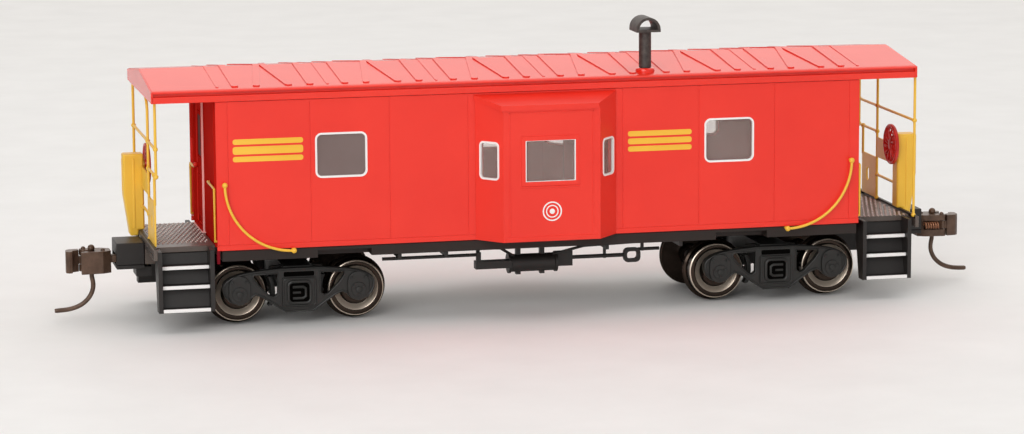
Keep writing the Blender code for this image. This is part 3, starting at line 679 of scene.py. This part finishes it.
def make_printing():
    """Plain printed shapes on the side: groups of three bars, and rings one inside the other."""
    skin = -BODY_HIGH.y - 0.035
    bars = []
    for low_x, high_x, heights in (
        (-53.2, -41.4, ((28.0, 28.9), (30.9, 31.8), (29.25, 30.55))),
        (14.3, 25.5, ((27.2, 28.1), (29.8, 30.7), (28.45, 29.45))),
    ):
        for low_z, high_z in heights:
            bars.append(flat(rounded((low_x, low_z), (high_x, high_z), 0.4), "XZ", skin, skin + 0.1))
    both_sides("yellow_bars", gathered(bars), BAR_YELLOW)
    front = BAY_FRONT_Y - 0.04
    ring = []
    centre = (0, 18.3)
    for outer, inner in ((1.66, 1.44), (1.08, 0.9), (0.45, 0.0)):
        disc = flat(arc(centre, outer, 0, 354, 59), "XZ", front, front + 0.1)
        if inner:
            disc = joined([disc], [flat(arc(centre, inner, 0, 350, 35), "XZ", front - 1, front + 1)])
        ring.append(disc)
    both_sides("white_ring", gathered(ring), WHITE)


# ---- roof -----------------------------------------------------------------------------------------


def rib(x_ridge, x_eave, side, width=1.15, height=0.2):
    """A flat-topped rib down one slope, from the ridge to just above the drip lip."""
    eave_y, end = side * 15.2, width / 2
    plan = [
        (x_ridge - end, side * -0.02), (x_ridge + end, side * -0.02),
        (x_eave + end, eave_y - side * 0.3), (x_eave + end * 0.6, eave_y),
        (x_eave - end * 0.6, eave_y), (x_eave - end, eave_y - side * 0.3),
    ]
    mesh = flat(plan, "XY", RIDGE_Z - 0.25, RIDGE_Z + height, bevel=0.04)
    for corner in mesh.vertices:
        corner.co.z -= abs(corner.co.y) * (RIDGE_Z - DRIP_Z[1]) / DRIP_Y
    return mesh


def make_roof():
    """Sloping sheets with ribs, drip lip, groove and fascia, a board across each end, and the smoke jack."""
    end = ROOF_HIGH.x
    half = [
        (FASCIA_Y, FASCIA_Z[0]), (FASCIA_Y, FASCIA_Z[1]), (FASCIA_Y - 0.75, FASCIA_Z[1]),
        (FASCIA_Y - 0.75, DRIP_Z[0] - 0.02), (DRIP_Y, DRIP_Z[0] - 0.02), (DRIP_Y, 39.98),
        (DRIP_Y - 0.12, 40.12), (DRIP_Y - 0.45, 40.24), (DRIP_Y - 1.0, 40.34),
    ]
    inside = [(0, RIDGE_Z - 1.0), (15.2, 39.3), (15.2, FASCIA_Z[0])]
    outline = half + [(0, RIDGE_Z)] + [(-y, z) for y, z in reversed(half)]
    outline += [(-y, z) for y, z in reversed(inside)] + inside[1:]
    left_end, right_end = -end, end - ROOF_RIGHT_TRIM
    pieces = [flat(outline, "YZ", left_end + 0.2, right_end - 0.2, bevel=0.04)]
    board = [
        (-FASCIA_Y, FASCIA_Z[0]), (FASCIA_Y, FASCIA_Z[0]), (FASCIA_Y, DRIP_Z[1] - 0.05), (0, RIDGE_Z - 0.05),
        (-FASCIA_Y, DRIP_Z[1] - 0.05),
    ]
    thick = 0.4
    for back in (left_end, right_end - thick):
        pieces.append(flat(board, "YZ", back, back + thick, bevel=0.08))
    first_joint = -SHEETS * SHEET_LENGTH / 2
    for slope in (-1, 1):
        for sheet in range(SHEETS + 1):
            joint = first_joint + sheet * SHEET_LENGTH
            pieces.append(rib(joint, joint, slope, width=0.5, height=0.12))
            if sheet == SHEETS:
                continue
            middle = joint + SHEET_LENGTH / 2
            for side in (-1, 1):
                pieces.append(rib(middle + side * 6.3, middle + side * 6.3, slope))
                pieces.append(rib(middle + side * 0.5, middle + side * 2.7, slope))
    collar = [(0, 41.15), (1.35, 41.15), (1.55, 41.0), (1.62, 40.7), (1.62, 39.8), (0, 39.8)]
    pieces.append(moved(turned(collar, "Z"), JACK_AT))
    show("roof_sheets", gathered(pieces), RED_GLOSS, ["roof"], sharp=9)
    soft_copy("smoke_jack", JACK, bevel=0.06)


# ---- ends -----------------------------------------------------------------------------------------


def make_platforms():
    """Platforms with a raised tread pattern, a lip along the end beam and its rivets."""
    for end in "ab":
        soft_copy(f"platform_{end}", DECK, bevel=0.08)
    shape = bmesh.new()
    along, across = 0.8, 2.6  # spacing of the raised dashes, in rows that are offset by half a step
    dash = Matrix.Diagonal((0.40 * MM, 1.50 * MM, 0.36 * MM, 1))
    first_x, first_y, deck_width = 56.5, -11.4, 23.0
    for row in range(int((RAILING_X - 0.1 - first_x) / along * 2)):
        for column in range(int(deck_width / across)):
            x = first_x + row * along / 2
            y = first_y + (column + (row % 2) / 2) * across
            place = Matrix.Translation(Vector((x, y, DECK_Z)) * MM)
            bmesh.ops.create_icosphere(shape, subdivisions=1, radius=0.5, matrix=place @ dash)
    mesh = bpy.data.meshes.new("tread")
    shape.to_mesh(mesh)
    shape.free()
    both_ends("deck_tread", mesh, PALE_TREAD)
    both_ends("deck_lip", box((65.95, -15.6, 13.3), (66.5, 15.6, 13.95), bevel=0.1), GREY)
    rivets = [ball((66.62, y, 12.8), 0.2) for y in (-15, -13, -5, 5, 7.5, 10, 12.5, 15)]
    both_ends("beam_rivets", gathered(rivets), GREY)


def make_steps():
    """Stringers, risers and treads with a white strip along each tread's edge."""
    low, high = STEP_LOW, STEP_HIGH
    strips = []
    for outer, top in ((14.3, 10.6), (15.0, 7.4), (15.7, 3.6)):
        strip_low = (low.x + 0.75, -outer - 0.06, top - 0.58)
        strip_high = (high.x - 0.75, -outer + 0.25, top + 0.02)
        strips.append(box(strip_low, strip_high, bevel=0.1))
    at_corners("step_edges", gathered(strips), WHITE)
    for corner in ("b_right", "a_left", "b_left", "a_right"):
        steps = soft_copy(f"step_{corner}", GREY, bevel=0.07)
        if corner[0] == "b":
            for obj in (steps, bpy.data.objects[f"step_edges_{corner}"]):
                for point in obj.data.vertices:
                    point.co.x = low.x * MM + (point.co.x - low.x * MM) * STEP_B_WIDTH


def make_railings():
    """Round posts and rails with knobs where they cross, a panel with a handhold and a bracket plate."""
    x = RAILING_X
    foot, head = 13.75, 38.2
    radius = 0.24
    pieces = [
        wire([(x, -14.8, foot), (x, -14.8, head)], radius),
        wire([(x, 5.1, foot), (x, 5.1, 35.9), (x, 4.4, 37.0), (x, 2.6, head)], radius),
        wire([(x, 15.3, head), (x, 15.3, 25.9)], radius),
        wire([(x, 13.0, 25.9), (x, 13.0, 20.8)], radius),
        wire([(x, -14.8, 30.5), (x, 15.3, 30.5)], radius),
        wire([(x, 15.3, 25.9), (x, 5.1, 25.9)], radius),
        wire([(x, -4.0, 18.1), (x, 5.1, 18.1)], radius),
        box((x - 0.16, -3.9, 21.3), (x + 0.16, 5.1, 24.9), bevel=0.08),
    ]
    panel = box((x - 0.16, 5.1, foot + 0.1), (x + 0.16, 13.1, 21.2), bevel=0.08)
    hold = flat(rounded((9.1, 16.4), (10.5, 18.8), 0.68), "YZ", x - 2, x + 2)
    pieces.append(joined([panel], [hold]))
    crossings = (
        (-14.8, 30.5), (5.1, 30.5), (15.3, 30.5), (5.1, 25.9), (15.3, 25.9), (13.0, 25.9), (5.1, 18.1),
    )
    for y, z in crossings:
        pieces.append(ball((x, y, z), 0.42))
    for y in (-14.8, 5.1):
        pieces.append(ball((x, y, foot + 0.2), 0.4))
    both_ends("railing", gathered(pieces), YELLOW, "end_railing")


def make_brake_gear():
    """The tall cover of the hand brake, and the spoked wheel on its shaft."""
    for end in "ab":
        soft_copy(f"brake_housing_{end}", YELLOW, bevel=0.28)
    low, high = node_box("brake_housing_b")
    mid = (low.y + high.y) / 2
    gland = [(0, 0.25), (0.9, 0.2), (1.05, 0.0), (1.05, -0.2), (0, -0.2)]
    trim = [
        box((67.15, low.y - 0.12, 14.2), (67.55, low.y + 0.2, 26.2), bevel=0.1),
        box((67.15, high.y - 0.2, 14.2), (67.55, high.y + 0.12, 26.2), bevel=0.1),
        box((high.x - 0.2, mid - 0.25, 20.6), (high.x + 0.12, mid + 0.25, 26.2), bevel=0.1),
        moved(turned(gland, "X", 24), (low.x, mid, BRAKE_WHEEL_Z)),
    ]
    both_ends("housing_trim", gathered(trim), YELLOW)
    x, y, z = BRAKE_WHEEL_X, mid, BRAKE_WHEEL_Z
    rim_r, hub_r = 3.3, 0.6
    rim = [
        (3.45, 0.3), (3.55, 0.15), (3.55, -0.2), (3.42, -0.35),
        (3.2, -0.35), (3.05, -0.2), (3.05, 0.15), (3.2, 0.3),
    ]
    hub = [(0, 0.5), (0.75, 0.45), (0.9, 0.1), (0.9, -0.3), (0, -0.5)]
    pieces = [moved(turned(rim, "X", 56, True), (x, y, z)), moved(turned(hub, "X", 24), (x, y, z))]
    pieces.append(rod((x, y, z), (low.x, y, z), 0.42))
    for radius in (1.45, 2.15, 2.75):
        ring = [(x - 0.05, y + b, z + c) for b, c in arc((0, 0), radius, 0, 350, 35)]
        pieces.append(wire(ring, 0.17, closed=True, sides=1))
    for spoke in range(12):
        start = math.radians(spoke * 30)
        bend = []
        for step in range(7):
            share = step / 6
            angle = start + 0.4 * share
            reach = hub_r + (rim_r - hub_r) * share
            bow = 0.3 * math.sin(math.pi * share)
            bend.append((x - bow, y + reach * math.cos(angle), z + reach * math.sin(angle)))
        pieces.append(wire(bend, 0.2, sides=2))
    both_ends("brake_wheel_fine", gathered(pieces), DEEP_RED, "brake_wheel")


def make_grab_irons():
    """Curved irons on the sides with knobs at their ends, and the bent rails of the end walls."""
    bend = [(x, -17.0, z) for x, z in arc((42.9, 24.3), 11.4, 0, -90, 32)]
    top = (bend[0][0], -BODY_HIGH.y, bend[0][2])
    foot = (bend[-1][0], -15.75, bend[-1][2])
    knobs = [ball(bend[0], 0.47), ball(bend[-1], 0.47)]
    iron = gathered([wire(bend, 0.23), rod(top, bend[0], 0.3), rod(foot, bend[-1], 0.3), *knobs])
    at_corners(
        "side_grab_iron_fine", iron, YELLOW, "side_grab_iron", slide=GRAB_IRON_SLIDE
    )
    x, wall = 56.05, BODY_HIGH.x
    rails = (
        ("inner", INNER_RAIL_SLIDE, (5.1, 23.2), ((12.7, 23.2), (12.95, 23.1), (13.0, 22.8)), (13.0, 14.3)),
        (
            "outer", OUTER_RAIL_SLIDE,
            (-11.2, 23.4), ((-15.6, 23.4), (-15.85, 23.3), (-15.9, 23.0)), (-15.9, 14.5),
        ),
    )
    for kind, slide, head, corner, foot in rails:
        route = [(wall, *head), *((x, *point) for point in (head, *corner, foot)), (wall, *foot)]
        both_ends(
            f"handrail_{kind}", wire(route, 0.22), YELLOW, f"end_handrail_{kind}", slide=slide
        )


# ---- below the floor ------------------------------------------------------------------------------


def make_underframe():
    """Sill, floor and brake gear with round edges, their bearers, hangers, pipes and caps, and the bare steel."""
    soft_copy("underframe", SILL, bevel=0.08)
    soft_copy("brake_rigging", GREY, bevel=0.06)
    bearers = []
    for x in (-25.0, -17.0, 11.0, 24.0):
        bearers.append(box((x - 0.3, -15.0, 10.3), (x + 0.3, 15.0, 11.4), bevel=0.08))
    for side in (-1, 1):
        bearers.append(box((-29.0, side * 6.0 - 0.3, 10.5), (29.0, side * 6.0 + 0.3, 11.4), bevel=0.08))
    show("cross_bearers", gathered(bearers), GREY)
    left_cap = [(0, 0.5), (1.2, 0.5), (1.75, 0.2), (1.75, -0.2), (0, -0.2)]
    right_cap = [(0, 0.2), (1.75, 0.2), (1.75, -0.2), (1.2, -0.6), (0, -0.6)]
    fittings = [
        moved(turned(left_cap, "X", 32), (-4.7, -8.0, 7.45)),
        moved(turned(right_cap, "X", 32), (3.5, -8.0, 7.45)),
        wire([(-4.0, -8.6, 8.8), (-6.5, -9.6, 10.4), (-16.0, -10.6, 10.9), (-26.0, -10.6, 10.9)], 0.25),
        wire([(3.0, -8.6, 8.8), (8.0, -10.2, 10.3), (22.0, -11.2, 10.9)], 0.25),
        box((-10.4, -8.3, 8.1), (-9.8, -7.7, 11.3), bevel=0.06),
        box((12.0, -8.2, 7.6), (12.5, -7.8, 11.3), bevel=0.06),
        box((18.7, -8.3, 8.6), (19.2, -7.7, 11.3), bevel=0.06),
    ]
    show("brake_fittings", gathered(fittings), GREY)
    for node in ("kingpin_screw_a", "kingpin_screw_b", "weight"):
        repaint(node, STEEL)


def make_couplers():
    """Coupler boxes and heads with soft edges, the knuckle's coil spring, rivets and the trip pin."""
    for end in "ab":
        soft_copy(f"coupler_box_{end}", GREY, bevel=0.12)
        soft_copy(f"coupler_lid_{end}", GREY, bevel=0.1)
        for stem in ("coupler", "knuckle"):
            head = soft_copy(f"{stem}_{end}", BROWNED, f"{stem}_{end}", bevel=0.12)
            moved(head.data, (COUPLER_SLIDE["ba".index(end)], 0, 0))
    turns, steps, coil_r = 6, 12, 0.56
    spring_start, spring_end = Vector((72.8, -2.5, 9.75)), Vector((75.4, -2.7, 9.75))
    points = []
    for step in range(turns * steps + 1):
        share = step / (turns * steps)
        angle = step * math.tau / steps
        middle = spring_start.lerp(spring_end, share)
        points.append((middle.x, middle.y + coil_r * math.cos(angle), middle.z + coil_r * math.sin(angle)))
    spring = wire(points, 0.13, sides=2)
    both_ends("knuckle_spring", spring, COPPER, body="coupler", slide=COUPLER_SLIDE)
    x, y = KNUCKLE_AT
    rivets = gathered([ball((x, y, 11.55), 0.4), ball((73.2, 0.6, 11.45), 0.4)])
    both_ends("coupler_rivets", rivets, BROWNED, body="coupler", slide=COUPLER_SLIDE)
    pin_x = 75.1
    bend = [
        (pin_x, 7.0), (74.9, 5.8), (75.0, 4.7), (75.5, 3.6),
        (76.3, 2.7), (77.4, 2.0), (79.1, 1.5), (81.5, 1.33),
    ]
    route = [(pin_x, 12.1), (pin_x, 11.9), (pin_x, 7.2)] + smooth(bend, 5)
    sizes = [0.7] + [1.0] * (len(route) - 2) + [0.8]
    pin = gathered([wire([(x, 0, z) for x, z in route], 0.4, sizes), ball((pin_x, 0, 11.85), 0.62)])
    both_ends("trip_pin_fine", pin, BROWNED, "trip_pin", "knuckle", slide=COUPLER_SLIDE)


def smooth(points, steps):
    """Points of a Catmull-Rom curve through the given ones."""
    padded = [points[0], *points, points[-1]]
    result = []
    for p0, p1, p2, p3 in zip(padded, padded[1:], padded[2:], padded[3:]):
        for step in range(steps):
            t = step / steps
            spot = []
            for a, b, c, d in zip(p0, p1, p2, p3):
                square = (2 * a - 5 * b + 4 * c - d) * t * t
                cube = (3 * b - a - 3 * c + d) * t**3
                spot.append(0.5 * (2 * b + (c - a) * t + square + cube))
            result.append(tuple(spot))
    result.append(points[-1])
    return result


# ---- trucks ---------------------------------------------------------------------------------------


def side_frame_outline():
    """A side frame seen from its side: arched top, journal boxes round the axle ends, hanging middle."""
    top = [(3.4, 9.05), (6.5, 8.8), (8.5, 8.6), (10.2, 8.3), (11.6, 7.8), (12.5, 7.2)]
    box_end = [
        (12.9, 6.6), (12.9, 5.4), (12.5, 4.4), (11.8, 3.7), (10.9, 3.35), (10.0, 3.3), (9.0, 3.6), (8.3, 4.3),
    ]
    bottom = [(7.5, 5.0), (6.3, 4.3), (4.8, 3.3), (3.3, 2.3), (2.3, 1.65)]
    half = top + box_end + bottom
    return half + [(-x, z) for x, z in reversed(half)]


def make_trucks():
    """Cast side frames with journal boxes, a bolster, brake beams and shoes, and black plates of painted shadow
    in the slot and the square recess.
    """
    inner, outer = SIDE_FRAME_Y
    slot = rounded((-2.6, 7.65), (2.6, 8.45), 0.2)
    slot_floor = rounded((-2.55, 7.66), (2.55, 8.44), 0.2)
    square = rounded((-1.9, 3.15), (1.9, 6.8), 0.8)
    shadow_plates = []
    opening = [(3.6, 8.3), (7.7, 8.2), (7.85, 7.6), (6.9, 6.3), (5.0, 4.4), (4.3, 4.2), (3.6, 4.7)]
    pieces = [box((-2.5, -inner - 0.3, 5.2), (2.5, inner + 0.3, 9.3), bevel=0.15)]
    for side in (-1, 1):
        low, high = sorted((side * inner, side * outer))
        face = side * outer
        cuts = []
        for end in (-1, 1):
            cuts.append(flat([(end * x, z) for x, z in opening], "XZ", low - 1, high + 1))
        cuts.append(flat(slot, "XZ", *sorted((face - side * 0.9, face + side))))
        pieces.append(softened(joined([flat(side_frame_outline(), "XZ", low, high)], cuts), 0.14))
        rim = [(x * 0.985, face, z + (0.12 if z < 5 else -0.12)) for x, z in side_frame_outline()]
        pieces.append(wire(rim, 0.2, closed=True, sides=2))
        for end in (-1, 1):
            edge = [(end * x, face, z) for x, z in opening]
            pieces.append(wire(edge, 0.16, closed=True, sides=2))
            axle = end * HALF_WHEELBASE
            centre = (axle, JOURNAL_Z)
            lid = sorted((face - side * 0.3, side * 12.75))
            boss = arc(centre, 1.85, 180, 360, 14) + arc((axle, 6.3), 1.85, 0, 180, 14)
            pieces.append(flat(boss, "XZ", *lid, bevel=0.18))
            cap = sorted((face, side * 12.95))
            pieces.append(flat(arc(centre, 1.3, 0, 330, 11), "XZ", *cap, bevel=0.1))
            hub = sorted((face, side * 13.15))
            pieces.append(flat(arc(centre, 0.55, 0, 345, 23), "XZ", *hub, bevel=0.1))
            bolts = [(axle + 0.92 * math.cos(t), JOURNAL_Z + 0.92 * math.sin(t)) for t in (0.52, 2.62, 4.71)]
            bolts += [(axle - 1.2, 7.1), (axle + 1.2, 7.1)]
            for bolt_x, bolt_z in bolts:
                head = sorted((face, side * 13.1))
                pieces.append(flat(arc((bolt_x, bolt_z), 0.24, 0, 300, 5), "XZ", *head, bevel=0.04))
        pad = sorted((face - side * 0.3, side * 12.6))
        pieces.append(flat(rounded((-2.9, 2.5), (2.9, 7.5), 0.4), "XZ", *pad, bevel=0.12))
        # Black plates in the slot and the square recess stand for their shadow: painted shadow.
        for shape, depth in ((slot_floor, 12.1), (square, 12.58)):
            shadow_plates.append(flat(shape, "XZ", *sorted((side * depth, side * (depth + 0.05)))))
        front = side * 12.68
        ring = [(x, front, z) for x, z in square]
        pieces.append(wire(ring, 0.27, closed=True, sides=2))
        hook = [(1.15, 5.9), (-0.6, 5.9), (-1.05, 5.6), (-1.05, 4.3), (-0.6, 3.98), (1.15, 3.98)]
        pieces.append(wire([(x, front, z) for x, z in hook], 0.25, sides=2))
        pieces.append(wire([(-0.2, front, 4.95), (1.15, front, 4.95)], 0.22, sides=2))
        frame_edge = [(x, front - side * 0.05, z) for x, z in rounded((-2.7, 2.7), (2.7, 7.3), 0.5)]
        pieces.append(wire(frame_edge, 0.14, closed=True, sides=2))
    for end in (-1, 1):
        beam_x, beam_z = end * 4.4, 4.6
        pieces.append(wire([(beam_x, -9.0, beam_z), (beam_x, 9.0, beam_z)], 0.35))
        inward = 180 if end > 0 else 0
        for side in (-1, 1):
            wheel_centre = (end * HALF_WHEELBASE, AXLE_Z)
            shoe = arc(wheel_centre, SHOE_R, inward - SHOE_REACH, inward + SHOE_REACH, 8)
            low, high = sorted((side * 7.9, side * 9.6))
            back = [(x - end * 0.7, z) for x, z in reversed(shoe)]
            pieces.append(flat(shoe + back, "XZ", low, high, bevel=0.08))
            hanger_y = side * 8.7
            hanger = [(beam_x, hanger_y, beam_z), (beam_x, hanger_y, 8.8), (2.2 * end, hanger_y, 9.0)]
            pieces.append(wire(hanger, 0.25))
    casting = moved(gathered(pieces), (TRUCK_X, 0, 0))
    dark = moved(gathered(shadow_plates), (TRUCK_X, 0, 0))
    for end in "ba":
        body, turned_round = f"truck_{end}", end == "a"
        nodes = [f"truck_frame_{end}"]
        show(f"{body}_casting", copied(casting, turned_round), TRUCK, nodes, body)
        show(f"{body}_recesses", copied(dark, turned_round), PAINTED_SHADOW_BLACK, [], body)


def make_wheels():
    """Needle-point axles with turned wheels, blackened but for a bright rim edge and a bright dish."""
    half = [
        (0.1, 11.85), (0.72, 10.9), (1.0, 10.35), (1.0, 10.1), (1.55, 10.0), (1.75, 9.85), (1.8, 9.5),
        (2.2, 9.4), (2.85, 9.5), (3.0, 9.6), (3.7, 9.98), (3.78, 10.03), (4.56, 10.04), (4.72, 9.93),
        (4.76, 9.8), (4.83, 8.2), (4.9, 7.98), (5.12, 7.85), (5.33, 7.74), (5.42, 7.6), (5.38, 7.42),
        (5.2, 7.26), (4.9, 7.24), (3.9, 7.5), (1.9, 7.6), (1.6, 7.1), (0.95, 7.0),
    ]
    profile = [(0.0, 11.9)] + half + [(r, -y) for r, y in reversed(half)] + [(0.0, -11.9)]
    mesh = turned(profile, "Y", 72)
    for material in (BRIGHT, FACE, STEEL):
        mesh.materials.append(material)
    blackened, steel = 1, 2
    for face in mesh.polygons:
        centre = face.center / MM
        reach = math.hypot(centre.x, centre.z)
        depth = abs(centre.y)
        rim = 4.55 < reach < 4.85 and depth > 9.6
        dish = 2.88 < reach < 3.76 and depth > 9.45
        if reach < 1.2:
            face.material_index = steel
        elif not (rim or dish):
            face.material_index = blackened
    for end in "ba":
        for number in (1, 2):
            wheelset = moved(mesh.copy(), (TRUCK_X + AXLE_X[number - 1], 0, AXLE_Z))
            name = f"wheelset_{end}{number}"
            show(f"{name}_fine", copied(wheelset, end == "a"), None, [name], name)


# ---- camera, light and floor ----------------------------------------------------------------------


def make_camera():
    """The view along the car from the right and a little behind end a, slightly above the roof line."""
    turn, rise, roll = math.radians(12.78), math.radians(9.47), math.radians(-0.325)
    ahead = Vector((math.sin(turn) * math.cos(rise), math.cos(turn) * math.cos(rise), -math.sin(rise)))
    right = Vector((math.cos(turn), -math.sin(turn), 0))
    up = right.cross(ahead)
    right, up = right * math.cos(roll) + up * math.sin(roll), up * math.cos(roll) - right * math.sin(roll)
    data = bpy.data.cameras.new("camera")
    data.sensor_width = 36.0
    data.lens = 124.37
    data.clip_start = 0.01
    data.clip_end = 20.0
    camera = bpy.data.objects.new("camera", data)
    place = Matrix((right, up, -ahead)).transposed().to_4x4()
    place.translation = Vector((-136.23, -590.67, 115.1 + FLANGE_DEPTH)) * MM
    camera.matrix_world = place
    bpy.context.scene.collection.objects.link(camera)
    bpy.context.scene.camera = camera


def area_light(name, at, aim, size, power, colour=(1, 1, 1)):
    data = bpy.data.lights.new(name, "AREA")
    data.shape = "RECTANGLE"
    data.size, data.size_y = size
    data.energy = power
    data.color = colour
    light = bpy.data.objects.new(name, data)
    light.location = at
    light.rotation_euler = (Vector(aim) - Vector(at)).to_track_quat("-Z", "Y").to_euler()
    bpy.context.scene.collection.objects.link(light)


def make_studio():
    area_light("back", (0.25, 1.5, 0.85), (0.05, 0, 0.03), (3.2, 1.5), 10.4, (1.0, 0.93, 0.86))
    area_light("overhead", (0.0, 0.0, 1.0), (0, 0, 0), (1.6, 1.2), 5.6)
    area_light("front_left", (-0.6, -1.0, 0.5), (0, 0, 0.02), (0.9, 0.7), 8.0)
    world = bpy.data.worlds.new("studio")
    world.use_nodes = True
    tree = world.node_tree
    sky = tree.nodes["Background"]
    sky.inputs["Color"].default_value = (1.0, 0.99, 0.98, 1.0)
    where = add_node(tree, "ShaderNodeTexCoord")
    parts = add_node(tree, "ShaderNodeSeparateXYZ")
    fall = add_node(tree, "ShaderNodeMapRange")
    for name, value in (("From Min", -0.95), ("From Max", -0.1), ("To Min", 0.08), ("To Max", 0.52)):
        fall.inputs[name].default_value = value
    tree.links.new(where.outputs["Generated"], parts.inputs["Vector"])
    tree.links.new(parts.outputs["X"], fall.inputs["Value"])
    tree.links.new(fall.outputs["Result"], sky.inputs["Strength"])
    bpy.context.scene.world = world
    bpy.context.scene.view_settings.view_transform = "Standard"
    shape = bmesh.new()
    bmesh.ops.create_grid(shape, x_segments=8, y_segments=8, size=3.0)
    mesh = bpy.data.meshes.new("floor")
    shape.to_mesh(mesh)
    shape.free()
    mesh.materials.append(surface("pale_floor", (0.80, 0.79, 0.775), (0.84, 0.83, 0.815), (0.6, 0.7), 0.02))
    floor = bpy.data.objects.new("floor", mesh)
    bpy.context.scene.collection.objects.link(floor)


make_camera()
make_studio()
make_body()
make_end_walls()
make_side_windows()
make_bays()
make_printing()
make_roof()
make_platforms()
make_steps()
make_railings()
make_brake_gear()
make_grab_irons()
make_underframe()
make_couplers()
make_trucks()
make_wheels()
